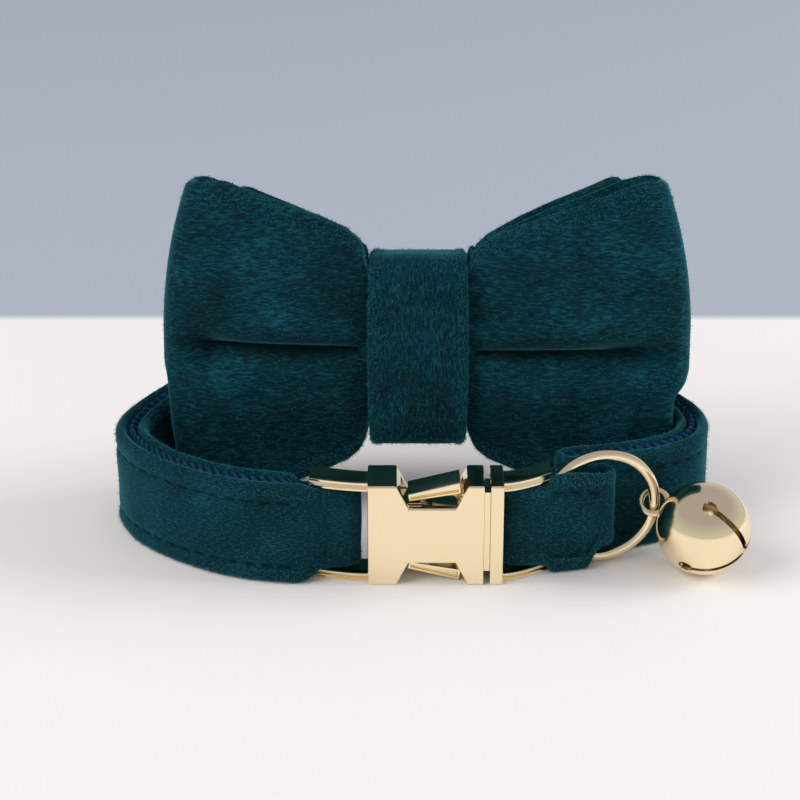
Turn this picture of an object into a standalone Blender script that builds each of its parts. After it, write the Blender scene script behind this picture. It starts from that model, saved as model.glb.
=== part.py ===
"""Pet bow tie collar: a velvet strap loop with a side release buckle, a ring with a
jingle bell, and a velvet bow held on the back run of the strap by an elastic loop.

Metres, +Z up. The front of the loop faces -Y and the strap stands on its lower edge.
"""
import math

import bmesh
import bpy
import numpy as np

# Clearances
PLY_GAP = 0.0003          # between cloth layers and between touching pieces
METAL_GAP = 0.0003        # between metal pieces that fit into each other
STACK_GAP = 0.0004        # between the knot, the bow sheets and the elastic

# Strap: outer velvet, webbing and lining velvet, standing on edge in a closed loop
STRAP_HEIGHT = 0.017
LOOP_HALF_WIDTH = 0.048
LOOP_DEPTH = 0.0435
VELVET = 0.0018
WEBBING = 0.0012
LINING = 0.0014
REAR_LIFT = 0.012         # how far the back run rises into the elastic
WEBBING_INSET = 0.0004    # the webbing's edge below the velvet's edge
PINCH_RUN = 0.0040        # length over which the strap narrows into the buckle
FRONT_HOLD = 0.0012       # length by the left bar that stays narrow in front
WRAP_RUN = 0.0056         # length over which the lining closes up behind the left bar
END_RUN = 0.0218          # length over which the right end is led in behind the tab
RIM_ROUND = 0.0012        # height over which a velvet edge rounds off

# Side release buckle
BUCKLE_HEIGHT = STRAP_HEIGHT
BUCKLE_DEPTH = 0.008
BUCKLE_X = -0.007         # left end of the body
BODY_LENGTH = 0.018
COLUMN_LEFT = 0.0044
COLUMN_RIGHT = 0.0025
NOTCH_DEPTH = 0.0038
NOTCH_SLOPE = 0.0019
BODY_WALL = 0.0012
MOUTH_WALL = 0.0014
MOUTH_GAP = 0.0009
TAIL_PLATE = 0.0021
ARM_LENGTH_LEFT = 0.0090
ARM_LENGTH_RIGHT = 0.0074
ARM_THICKNESS = 0.0014
ARM_DEPTH = 0.0046
ARM_FRONT = 0.0015        # front edge of the arms behind the buckle's face
ARM_SWEEP_LEFT = 0.0022   # how far the left arms curve back
ARM_SWEEP_RIGHT = 0.0042  # how far the right arms curve back
BAR_RADIUS = 0.0008
BAR_SHARE_LEFT = 0.64     # place of the strap bar along the left arms
BAR_SHARE_RIGHT = 0.50    # place of the strap bar along the right arms
EDGE_BEVEL = 0.00025

# Release levers: flat wedges that pivot at their narrow ends
LEVER_END_GAP = 0.0010    # between a lever's wide end and the body's right column
LEVER_LENGTH = BODY_LENGTH - COLUMN_LEFT - NOTCH_SLOPE - COLUMN_RIGHT - LEVER_END_GAP
LEVER_TIP = 0.0012
LEVER_SHOULDER = 0.0018
LEVER_RISE_DEG = 10.0
LEVER_INSET = 0.0006      # how far the pivots lie inside the mouth's walls
TONGUE_NECK = 0.0084      # height of the tongue between the levers
TONGUE_TAPER = 0.7        # the tongue's tip as a share of its head

# Ring and bell
RING_DIAMETER = 0.0193
RING_WIRE = 0.0018
RING_FLOOR_GAP = 0.0003
BELL_DIAMETER = 0.0148
BELL_WALL = 0.0006
BELL_SLOT = 0.0009
BELL_SLOT_END = 0.0023    # diameter of the round holes that end the slots
BELL_SLOT_START = 0.0010  # the holes lie this far below the bell's widest line
BELL_EYE = 0.0052
BELL_EYE_WIRE = 0.0010
BELL_AXIS = (0.80, -0.50, -0.25)
EYE_TURN_DEG = 38.0

# Tab: the strap's end, doubled round the ring and the right bar
TAB_VELVET = 0.0012
TAB_REACH = 0.0142        # from the bar to the outside of the fold
TAB_TURN_DEG = 12.0       # the tab's direction behind the buckle's face
RING_BEFORE_FOLD = 0.0021 # the ring's centre lies this far short of the tab's fold
TAB_CORNER_LIFT = 0.0034  # the fold's lower corner, raised by the ring
TAB_CORNER_DROP = 0.0006
TAB_HOLD = 0.65           # share of the arm beyond the bar where the tab stays narrow

# Bow
WING_REACH_LEFT = 0.0401
WING_REACH_RIGHT = 0.0431
WING_HEIGHT = 0.0560
WING_FRONT = 0.0060       # fullest depth of the front sheet before the bow's middle
WING_BACK = 0.0044        # fullest depth of the back sheet behind it
WING_CLOTH = 0.0018
BACK_PLY_CLOTH = 0.0014
PLY_SPREAD = 0.0012       # how far the back ply stands off the loop at the sides
PLY_REACH_LEFT = 0.75     # share of the left wing that the back ply covers
PLY_REACH_RIGHT = 0.84    # share of the right wing that it covers
PLY_MARGIN = 0.03         # room kept free beyond the ply's sides, as a share of the wing
PLY_FADE = 0.06           # share of the wing over which the loop fills that room again
SIDE_PULL = 0.13          # how far the corners lie inside the wing's widest point
LOWER_EASE = 0.07         # how much shorter the lower half is beside the knot
VALLEY_DEPTH = 0.0034
VALLEY_WIDTH = 0.17
BOW_LEAN_DEG = 7.0
BOW_X = 0.0009
PRESS_FADE = 0.006        # height above the strap over which the wings swing free
FLOOR_PRESS = 0.0006      # how much of the lower corners is pressed flat
KNOT_WIDTH = 0.0156
KNOT_HEIGHT = 0.0318
KNOT_DEPTH = 0.0128
KNOT_CLOTH = 0.0019
KNOT_CORNER = 0.0042
KNOT_INSET = 0.0011       # how far the bow's sheets keep from the knot's rounded ends
KNOT_EASE = 0.0020        # distance from the knot over which the strap starts to press
KNOT_WAIST = 0.04         # how much wider the knot is at half height
ELASTIC_WIDTH = 0.010
ELASTIC_CLOTH = 0.0010
ELASTIC_CORNER = 0.0014
BAND_RIM = 0.06           # share of a band's width over which its edges round off

# Fineness of the surfaces
PATH_SAMPLES = 2400
PRESS_SAMPLES = 200
STRAP_STATIONS = 62
TAB_STATIONS = 14
FOLD_STATIONS = 5
CLOTH_ROWS = 4
ROD_SIDES = 16
ARM_STATIONS = 7
ARM_SINK = 0.06           # share of an arm that runs on inside the buckle
RING_STATIONS = 40
RING_SIDES = 10
EYE_STATIONS = 20
EYE_SIDES = 8
BELL_STATIONS = 24
BELL_ROWS = 14
KNOT_STATION = 0.6        # share of the knot's half width where the sheets have a section

# Outer face of the strap, from the left bar round the back to the right end
# x share, y share, lift share, lean share, bulk share
LOOP_TABLE = [
    (-0.262, 0.000, 0.00, 0.0, 1.00),
    (-0.420, 0.003, 0.00, 0.0, 1.30),
    (-0.560, 0.035, 0.00, 0.0, 1.25),
    (-0.700, 0.108, 0.00, 0.0, 1.15),
    (-0.832, 0.215, 0.00, 0.0, 1.00),
    (-0.935, 0.340, 0.00, 0.0, 1.00),
    (-0.992, 0.470, 0.00, 0.0, 1.00),
    (-0.998, 0.575, 0.01, 0.0, 1.00),
    (-0.965, 0.680, 0.04, 0.0, 1.00),
    (-0.890, 0.785, 0.12, 0.1, 1.00),
    (-0.730, 0.890, 0.33, 0.3, 1.00),
    (-0.480, 0.962, 0.68, 0.7, 1.00),
    (-0.200, 0.996, 0.96, 1.0, 1.00),
    (0.019, 1.000, 1.00, 1.0, 1.00),
    (0.240, 0.996, 0.95, 1.0, 1.00),
    (0.520, 0.970, 0.66, 0.7, 1.00),
    (0.760, 0.905, 0.30, 0.3, 1.00),
    (0.915, 0.805, 0.08, 0.1, 1.00),
    (0.988, 0.690, 0.01, 0.0, 1.00),
    (1.004, 0.570, 0.00, 0.0, 1.00),
    (0.965, 0.440, 0.00, 0.0, 1.00),
    (0.880, 0.348, 0.00, 0.0, 1.00),
    (0.770, 0.285, 0.00, 0.0, 1.00),
    (0.655, 0.243, 0.00, 0.0, 1.00),
    (0.530, 0.212, 0.00, 0.0, 1.00),
]

# Sections of a wing from the knot's side to the side fold
# reach share, height share, front share, back share, edge share, valley share
WING_TABLE = [
    (0.000, 0.00, 0.00, 0.00, 0.80, 0.05),
    (0.035, 0.36, 0.15, 0.12, 0.62, 0.30),
    (0.090, 0.465, 0.50, 0.35, 0.48, 0.80),
    (0.230, 0.59, 0.80, 0.60, 0.42, 1.00),
    (0.400, 0.71, 0.95, 0.80, 0.42, 1.00),
    (0.600, 0.83, 1.00, 0.95, 0.44, 1.00),
    (0.780, 0.95, 0.95, 1.00, 0.50, 1.00),
    (0.900, 0.99, 0.75, 0.85, 0.58, 0.70),
    (0.955, 1.00, 0.50, 0.60, 0.70, 0.35),
]


def material(name, colour, roughness, metallic=0.0):
    made = bpy.data.materials.new(name)
    made.use_nodes = True
    shader = made.node_tree.nodes["Principled BSDF"]
    shader.inputs["Base Color"].default_value = (*colour, 1.0)
    shader.inputs["Roughness"].default_value = roughness
    shader.inputs["Metallic"].default_value = metallic
    return made


def smooth(t):
    t = np.clip(t, 0.0, 1.0)
    return t * t * (3.0 - 2.0 * t)


def along_rows(table, shares):
    """Cubic curve through the rows of a table, read at shares of its length."""
    rows = np.array(table, float)
    last = len(rows) - 1
    place = np.clip(shares, 0.0, 1.0) * last
    low = np.minimum(place.astype(int), last - 1)
    t = (place - low)[:, None]
    before = rows[np.maximum(low - 1, 0)]
    start = rows[low]
    end = rows[low + 1]
    after = rows[np.minimum(low + 2, last)]
    return 0.5 * (2.0 * start + (end - before) * t
                  + (2.0 * before - 5.0 * start + 4.0 * end - after) * t ** 2
                  + (3.0 * start - 3.0 * end + after - before) * t ** 3)


def by_reach(table, reach):
    """Read a table's columns at given values of its first column."""
    rows = np.array(table, float)
    return [np.interp(reach, rows[:, 0], rows[:, column]) for column in range(1, rows.shape[1])]


def put_in(collection, name, mesh, look, parent=None):
    piece = bpy.data.objects.new(name, mesh)
    collection.objects.link(piece)
    mesh.materials.clear()
    mesh.materials.append(look)
    piece.parent = parent
    return piece


def mesh_from_grid(name, grid, closed):
    """Loft through the rows of grid. Each row is one closed section. Open lofts get end faces."""
    shape = bmesh.new()
    rings = [[shape.verts.new(point) for point in row] for row in grid]
    count = len(rings)
    for index in range(count if closed else count - 1):
        here = rings[index]
        following = rings[(index + 1) % count]
        for side in range(len(here)):
            beyond = (side + 1) % len(here)
            shape.faces.new((here[side], here[beyond], following[beyond], following[side]))
    if not closed:
        shape.faces.new(rings[0])
        shape.faces.new(rings[-1])
    bmesh.ops.recalc_face_normals(shape, faces=shape.faces)
    mesh = bpy.data.meshes.new(name)
    shape.to_mesh(mesh)
    shape.free()
    mesh.shade_smooth()
    mesh.set_sharp_from_angle(angle=math.radians(50.0))
    return mesh


def sheet_normals(middle, closed):
    if closed:
        forward = np.roll(middle, -1, axis=0) - np.roll(middle, 1, axis=0)
    else:
        forward = np.gradient(middle, axis=0)
    normal = np.cross(forward, np.gradient(middle, axis=1))
    return normal / np.linalg.norm(normal, axis=2, keepdims=True)


def cloth_sections(middle, thickness, closed, edge=0.45):
    """Sections of a sheet: middle is its middle surface, stations by rows of points.

    The outer and the inner face lie half a thickness to each side, and the first and
    last row are thinner, so that the edges are round.
    """
    normal = sheet_normals(middle, closed)
    half = np.broadcast_to(np.asarray(thickness) / 2.0, middle.shape[:2]).copy()
    half[:, 0] *= edge
    half[:, -1] *= edge
    outer = middle + normal * half[:, :, None]
    inner = middle - normal * half[:, :, None]
    return np.concatenate([outer, inner[:, ::-1]], axis=1)


def heights_between(low, high, rows, rim):
    """Rows of heights from low to high, with one row close to each edge."""
    shares = np.linspace(0.0, 1.0, rows)[None, :]
    height = (high - low)[:, None]
    level = low[:, None] + height * shares
    level[:, 1] = low + rim
    level[:, -2] = high - rim
    return level


def strap_path(count):
    """Outer face of the strap at even steps: place, outward normal, lift, lean and bulk."""
    dense = along_rows(LOOP_TABLE, np.linspace(0.0, 1.0, PATH_SAMPLES))
    plan = dense[:, :2] * (LOOP_HALF_WIDTH, LOOP_DEPTH)
    step = np.linalg.norm(np.diff(plan, axis=0), axis=1)
    run = np.concatenate([[0.0], np.cumsum(step)])
    even = np.linspace(0.0, run[-1], count)
    place = np.stack([np.interp(even, run, plan[:, axis]) for axis in (0, 1)], axis=1)
    lift, lean, bulk = (np.interp(even, run, dense[:, column]) for column in (2, 3, 4))
    tangent = np.gradient(place, axis=0)
    tangent /= np.linalg.norm(tangent, axis=1, keepdims=True)
    outward = np.stack([-tangent[:, 1], tangent[:, 0]], axis=1)
    return place, outward, lift * REAR_LIFT, lean * math.radians(BOW_LEAN_DEG), bulk, even


def arm_middle(share, sweep):
    """Depth of the middle of a buckle arm at a share of its length."""
    return ARM_FRONT + ARM_DEPTH / 2.0 + sweep * share ** 1.5


def left_bar():
    return BUCKLE_X - BAR_SHARE_LEFT * ARM_LENGTH_LEFT, arm_middle(BAR_SHARE_LEFT, ARM_SWEEP_LEFT)


def tail_right():
    return BUCKLE_X + BODY_LENGTH + MOUTH_GAP + TAIL_PLATE


def right_bar():
    along = BAR_SHARE_RIGHT * ARM_LENGTH_RIGHT
    return tail_right() + along, arm_middle(BAR_SHARE_RIGHT, ARM_SWEEP_RIGHT)


def window_low():
    return ARM_THICKNESS + METAL_GAP


def narrowing(distance, hold, run, low, high):
    """Lower and upper edge of a strap that narrows into the buckle's window."""
    free = smooth((distance - hold) / run)
    narrow_low = np.maximum(low, window_low())
    narrow_high = np.minimum(high, BUCKLE_HEIGHT - window_low())
    return narrow_low + (low - narrow_low) * free, narrow_high + (high - narrow_high) * free


def lean_points(place, outward, level, lift, lean):
    """Points of a standing sheet: place in plan, height, and the lean of its upper edge."""
    middle = (lift + STRAP_HEIGHT / 2.0)[:, None]
    shift = (level - middle) * np.tan(lean)[:, None]
    plan = place[:, None, :] + outward[:, None, :] * shift[:, :, None]
    return np.concatenate([plan, level[:, :, None]], axis=2)


def half_turn(start, end, bulge):
    """Points of a half circle from start to end that bulges towards the given side."""
    centre = (start + end) / 2.0
    first = start - centre
    side = bulge * np.linalg.norm(first)
    angle = np.linspace(0.0, math.pi, FOLD_STATIONS + 2)[1:-1, None]
    return centre + first * np.cos(angle) + side * np.sin(angle)


def strap_layout(count):
    """The strap's outer face as strap_path gives it, bent to the left bar and to the tab.

    Gives also the cloth's thickness and the room for webbing between velvet and lining.
    """
    place, outward, lift, lean, bulk, run = strap_path(count)
    near = 1.0 - smooth(run / WRAP_RUN)
    wrap = 2.0 * (BAR_RADIUS + METAL_GAP)
    flat = WEBBING + 2.0 * PLY_GAP
    room = flat + (wrap - flat) * near
    at_bar = np.array(left_bar()) - (0.0, wrap / 2.0 + VELVET * bulk[0])
    bar, along = tab_line()
    tab_rear = bar[1] + (place[-1, 0] - bar[0]) * along[1] / along[0]
    tab_rear += (RING_WIRE / 2.0 + METAL_GAP + TAB_VELVET) / along[0]
    at_tab = np.array([place[-1, 0], tab_rear + 2.0 * PLY_GAP])
    far = 1.0 - smooth((run[-1] - run) / END_RUN)
    place = place + (at_bar - place[0]) * near[:, None] + (at_tab - place[-1]) * far[:, None]
    return place, outward, lift, lean, VELVET * bulk, LINING * bulk, room, run


def strap_cover(collection, look, root):
    """Velvet round the whole loop: outer face, wrap round the left bar, and lining."""
    layout = strap_layout(STRAP_STATIONS)
    place, outward, lift, lean, outer_cloth, lining_cloth, room, run = layout
    outer_mid = place - outward * (outer_cloth / 2.0)[:, None]
    lining_mid = place - outward * (outer_cloth + room + lining_cloth / 2.0)[:, None]
    high = lift + STRAP_HEIGHT
    outer_low, outer_high = narrowing(run, FRONT_HOLD, PINCH_RUN, lift, high)
    hold = (1.0 - BAR_SHARE_LEFT) * ARM_LENGTH_LEFT + METAL_GAP
    lining_low, lining_high = narrowing(run, hold, PINCH_RUN, lift, high)
    left_turn = half_turn(lining_mid[0], outer_mid[0], np.array([1.0, 0.0]))
    back = outer_mid[-1] - outer_mid[-2]
    right_turn = half_turn(outer_mid[-1], lining_mid[-1], back / np.linalg.norm(back))
    plan = np.concatenate([outer_mid, right_turn, lining_mid[::-1], left_turn])

    def joined(outer, lining):
        right = np.linspace(outer[-1], lining[-1], FOLD_STATIONS + 2)[1:-1]
        left = np.linspace(lining[0], outer[0], FOLD_STATIONS + 2)[1:-1]
        return np.concatenate([outer, right, lining[::-1], left])

    level = heights_between(joined(outer_low, lining_low), joined(outer_high, lining_high),
                            CLOTH_ROWS, RIM_ROUND)
    middle = lean_points(plan, joined(outward, outward), level, joined(lift, lift),
                         joined(lean, lean))
    cloth = joined(outer_cloth, lining_cloth)[:, None]
    mesh = mesh_from_grid("strap_cover", cloth_sections(middle, cloth, True), True)
    return put_in(collection, "strap_cover", mesh, look, root)


def strap_webbing(collection, look, root):
    """Woven tape between the outer velvet and the lining."""
    layout = strap_layout(STRAP_STATIONS)
    place, outward, lift, lean, outer_cloth, lining_cloth, room, run = layout
    middle_plan = place - outward * (outer_cloth + room / 2.0)[:, None]
    hold = (1.0 - BAR_SHARE_LEFT) * ARM_LENGTH_LEFT + METAL_GAP
    low, high = narrowing(run, hold, PINCH_RUN, lift, lift + STRAP_HEIGHT)
    level = np.stack([low + WEBBING_INSET, high - WEBBING_INSET], axis=1)
    start = np.searchsorted(run, BAR_RADIUS + WEBBING)
    middle = lean_points(middle_plan, outward, level, lift, lean)[start:]
    mesh = mesh_from_grid("strap_webbing", cloth_sections(middle, WEBBING, False, 1.0), False)
    return put_in(collection, "strap_webbing", mesh, look, root)


def tab_line():
    """The tab's start at the right bar and its direction, in plan."""
    turn = math.radians(TAB_TURN_DEG)
    return np.array(right_bar()), np.array([math.cos(turn), math.sin(turn)])


def ring_centre():
    bar, along = tab_line()
    middle = bar + along * (TAB_REACH - RING_BEFORE_FOLD)
    return np.array([*middle, RING_DIAMETER / 2.0 + RING_FLOOR_GAP])


def ring_tab(collection, look, root):
    """The strap's end: a flat closed loop of velvet round the right bar and the ring."""
    bar, along = tab_line()
    across = np.array([along[1], -along[0]])
    bar_room = BAR_RADIUS + METAL_GAP
    ring_room = RING_WIRE / 2.0 + METAL_GAP
    straight = TAB_REACH - ring_room - TAB_VELVET
    distance = np.linspace(0.0, straight, TAB_STATIONS)
    room = bar_room + (ring_room - bar_room) * smooth(distance / PINCH_RUN)
    half = (room + TAB_VELVET / 2.0)[:, None]
    line = bar + along * distance[:, None]
    front = line + across * half
    rear = line - across * half
    fold = half_turn(front[-1], rear[-1], along)
    wrap = half_turn(rear[0], front[0], -along)
    end = smooth(2.0 * distance / straight - 1.0)
    low = TAB_CORNER_LIFT * end
    high = STRAP_HEIGHT - TAB_CORNER_DROP * end
    beyond_bar = (1.0 - BAR_SHARE_RIGHT) * ARM_LENGTH_RIGHT
    front_low, front_high = narrowing(distance, TAB_HOLD * beyond_bar, PINCH_RUN, low, high)
    rear_low, rear_high = narrowing(distance, beyond_bar + METAL_GAP, PINCH_RUN, low, high)
    plan = np.concatenate([front, fold, rear[::-1], wrap])
    turns = FOLD_STATIONS
    low = np.concatenate([front_low, np.full(turns, front_low[-1]), rear_low[::-1],
                          np.full(turns, front_low[0])])
    high = np.concatenate([front_high, np.full(turns, front_high[-1]), rear_high[::-1],
                           np.full(turns, front_high[0])])
    level = heights_between(low, high, CLOTH_ROWS, RIM_ROUND)
    standing = np.repeat(plan[:, None, :], CLOTH_ROWS, axis=1)
    middle = np.concatenate([standing, level[:, :, None]], axis=2)
    mesh = mesh_from_grid("ring_tab", cloth_sections(middle, TAB_VELVET, True), True)
    return put_in(collection, "ring_tab", mesh, look, root)


def box(collection, name, low, high, bevel=0.0):
    shape = bmesh.new()
    bmesh.ops.create_cube(shape, size=1.0)
    low = np.array(low)
    high = np.array(high)
    for vert in shape.verts:
        vert.co = (low + high) / 2.0 + np.array(vert.co) * (high - low)
    if bevel:
        bmesh.ops.bevel(shape, geom=shape.edges, offset=bevel, segments=2, profile=0.5,
                        affect="EDGES")
    mesh = bpy.data.meshes.new(name)
    shape.to_mesh(mesh)
    shape.free()
    piece = bpy.data.objects.new(name, mesh)
    collection.objects.link(piece)
    return piece


def outline_solid(collection, name, outline, low, high, bevel=0.0):
    """Upright plate from an outline in X and Z, extruded along Y from low to high."""
    shape = bmesh.new()
    front = [shape.verts.new((x, low, z)) for x, z in outline]
    face = shape.faces.new(front)
    moved = bmesh.ops.extrude_face_region(shape, geom=[face])["geom"]
    for vert in moved:
        if isinstance(vert, bmesh.types.BMVert):
            vert.co.y = high
    bmesh.ops.recalc_face_normals(shape, faces=shape.faces)
    if bevel:
        bmesh.ops.bevel(shape, geom=shape.edges, offset=bevel, segments=2, profile=0.5,
                        affect="EDGES")
    mesh = bpy.data.meshes.new(name)
    shape.to_mesh(mesh)
    shape.free()
    piece = bpy.data.objects.new(name, mesh)
    collection.objects.link(piece)
    return piece


def rod(collection, name, x, y, low, high, radius):
    shape = bmesh.new()
    bmesh.ops.create_cone(shape, cap_ends=True, segments=ROD_SIDES, radius1=radius,
                          radius2=radius, depth=high - low)
    for vert in shape.verts:
        vert.co += type(vert.co)((x, y, (low + high) / 2.0))
    mesh = bpy.data.meshes.new(name)
    shape.to_mesh(mesh)
    shape.free()
    piece = bpy.data.objects.new(name, mesh)
    collection.objects.link(piece)
    return piece


def arm(collection, name, start, length, sweep, low, high):
    """Curved buckle arm, lofted from start along X while it sweeps back."""
    shares = np.linspace(-ARM_SINK, 1.0, ARM_STATIONS)
    centre = arm_middle(np.maximum(shares, 0.0), sweep)
    x = start + length * shares
    near = centre - ARM_DEPTH / 2.0
    far = centre + ARM_DEPTH / 2.0
    ones = np.ones_like(x)
    grid = np.stack([np.stack([x, near, ones * low], 1), np.stack([x, far, ones * low], 1),
                     np.stack([x, far, ones * high], 1), np.stack([x, near, ones * high], 1)], 1)
    piece = bpy.data.objects.new(name, mesh_from_grid(name, grid, False))
    collection.objects.link(piece)
    return piece


def combine(base, operation, helper):
    cut = base.modifiers.new(helper.name, "BOOLEAN")
    cut.operation = operation
    cut.object = helper
    cut.solver = "EXACT"
    helper.parent = base.parent
    helper.hide_render = True
    helper.display_type = "WIRE"


def pair_of_arms(cutters, base, name, start, length, sweep, bar):
    inset = EDGE_BEVEL
    lower = arm(cutters, name + "_low", start, length, sweep, inset, ARM_THICKNESS)
    upper = arm(cutters, name + "_top", start, length, sweep,
                BUCKLE_HEIGHT - ARM_THICKNESS, BUCKLE_HEIGHT - inset)
    post = rod(cutters, name + "_bar", bar[0], bar[1], ARM_THICKNESS / 2.0,
               BUCKLE_HEIGHT - ARM_THICKNESS / 2.0, BAR_RADIUS)
    for helper in (lower, upper, post):
        combine(base, "UNION", helper)


def buckle_body(collection, cutters, look, root):
    """Socket half: an H shaped box that is open at the right, with arms and a strap bar."""
    left = BUCKLE_X
    right = BUCKLE_X + BODY_LENGTH
    top = BUCKLE_HEIGHT
    inner_left = left + COLUMN_LEFT
    inner_right = right - COLUMN_RIGHT
    outline = [(left, 0.0), (inner_left, 0.0), (inner_left + NOTCH_SLOPE, NOTCH_DEPTH),
               (inner_right - NOTCH_SLOPE, NOTCH_DEPTH), (inner_right, 0.0), (right, 0.0),
               (right, top), (inner_right, top), (inner_right - NOTCH_SLOPE, top - NOTCH_DEPTH),
               (inner_left + NOTCH_SLOPE, top - NOTCH_DEPTH), (inner_left, top), (left, top)]
    body = outline_solid(collection, "buckle_body", outline, 0.0, BUCKLE_DEPTH, EDGE_BEVEL)
    body.data.materials.append(look)
    body.parent = root
    cavity = box(cutters, "buckle_cavity", (left + 2.0 * BODY_WALL, BODY_WALL, MOUTH_WALL),
                 (right + MOUTH_GAP, BUCKLE_DEPTH - BODY_WALL, top - MOUTH_WALL))
    pair_of_arms(cutters, body, "socket_arm", left, -ARM_LENGTH_LEFT, ARM_SWEEP_LEFT, left_bar())
    combine(body, "DIFFERENCE", cavity)
    return body


def lever_pivot(side):
    """Pivot of a release lever, at the middle of its narrow end. Side is 1 above, -1 below."""
    x = BUCKLE_X + COLUMN_LEFT + NOTCH_SLOPE + LEVER_TIP / 2.0
    inside = MOUTH_WALL + LEVER_INSET + LEVER_TIP / 2.0
    middle = BUCKLE_HEIGHT / 2.0
    return x, middle + side * (middle - inside)


def buckle_tail(collection, cutters, look, root):
    """Plug half: tail plate, tongue between the levers, arms and a strap bar."""
    left = BUCKLE_X + BODY_LENGTH + MOUTH_GAP
    right = tail_right()
    plate = box(collection, "buckle_tail", (left, 0.0, 0.0), (right, BUCKLE_DEPTH, BUCKLE_HEIGHT),
                EDGE_BEVEL)
    plate.data.materials.append(look)
    plate.parent = root
    middle = BUCKLE_HEIGHT / 2.0
    pivot_x, pivot_z = lever_pivot(1)
    head = pivot_z - middle - LEVER_TIP / 2.0 - METAL_GAP
    neck = TONGUE_NECK / 2.0
    mouth = middle - MOUTH_WALL - METAL_GAP
    tip = BUCKLE_X + 2.0 * BODY_WALL + METAL_GAP
    shoulder = pivot_x + LEVER_TIP
    sink = TAIL_PLATE / 2.0
    stop = BUCKLE_X + BODY_LENGTH - COLUMN_RIGHT
    upper = [(tip, head * TONGUE_TAPER), (tip + NOTCH_SLOPE, head), (shoulder, head),
             (shoulder + NOTCH_SLOPE, neck), (stop - NOTCH_SLOPE / 2.0, neck), (stop, mouth),
             (left + sink, mouth)]
    outline = [(x, middle - z) for x, z in upper] + [(x, middle + z) for x, z in reversed(upper)]
    tongue = outline_solid(cutters, "tail_tongue", outline, BODY_WALL + METAL_GAP,
                           BUCKLE_DEPTH - BODY_WALL - METAL_GAP)
    combine(plate, "UNION", tongue)
    pair_of_arms(cutters, plate, "plug_arm", right, ARM_LENGTH_RIGHT, ARM_SWEEP_RIGHT,
                 right_bar())
    return plate


def release_lever(collection, name, side, look, root):
    """Flat wedge in the plug's notch. Its origin lies on its pivot, at the narrow end."""
    x, z = lever_pivot(side)
    pivot = bpy.data.objects.new(name + "_pivot", None)
    collection.objects.link(pivot)
    pivot.parent = root
    pivot.location = (x, 0.0, z)
    pivot.rotation_euler = (0.0, -side * math.radians(LEVER_RISE_DEG), 0.0)
    tip = LEVER_TIP / 2.0
    outline = [(-tip, -tip * side), (LEVER_LENGTH - tip, -tip * side),
               (LEVER_LENGTH - tip, (LEVER_SHOULDER - tip) * side), (-tip, tip * side)]
    inset = BODY_WALL + METAL_GAP
    lever = outline_solid(collection, name, outline, inset, BUCKLE_DEPTH - inset, EDGE_BEVEL / 2.0)
    lever.data.materials.append(look)
    lever.parent = pivot
    return lever


def torus_mesh(name, diameter, wire, around, section):
    radius = (diameter - wire) / 2.0
    angle = np.linspace(0.0, 2.0 * math.pi, around, endpoint=False)[:, None]
    turn = np.linspace(0.0, 2.0 * math.pi, section, endpoint=False)[None, :]
    spread = radius + wire / 2.0 * np.cos(turn)
    grid = np.stack([spread * np.cos(angle), spread * np.sin(angle),
                     wire / 2.0 * np.sin(turn) + 0.0 * angle], axis=2)
    return mesh_from_grid(name, grid, True)


def holding_ring(collection, look, root):
    mesh = torus_mesh("ring", RING_DIAMETER, RING_WIRE, RING_STATIONS, RING_SIDES)
    piece = put_in(collection, "ring", mesh, look, root)
    piece.location = ring_centre()
    piece.rotation_euler = (math.pi / 2.0, 0.0, math.radians(TAB_TURN_DEG))
    return piece


def bell_frame():
    """Centre of the bell, so that its eye goes round the ring's outermost point."""
    bar, along = tab_line()
    hold = ring_centre()
    hold[:2] += along * (RING_DIAMETER - RING_WIRE) / 2.0
    axis = np.array(BELL_AXIS) / np.linalg.norm(BELL_AXIS)
    reach = BELL_DIAMETER / 2.0 + BELL_EYE / 2.0 - BELL_EYE_WIRE
    middle = hold + axis * reach
    middle[2] = BELL_DIAMETER / 2.0
    return middle, axis


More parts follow.
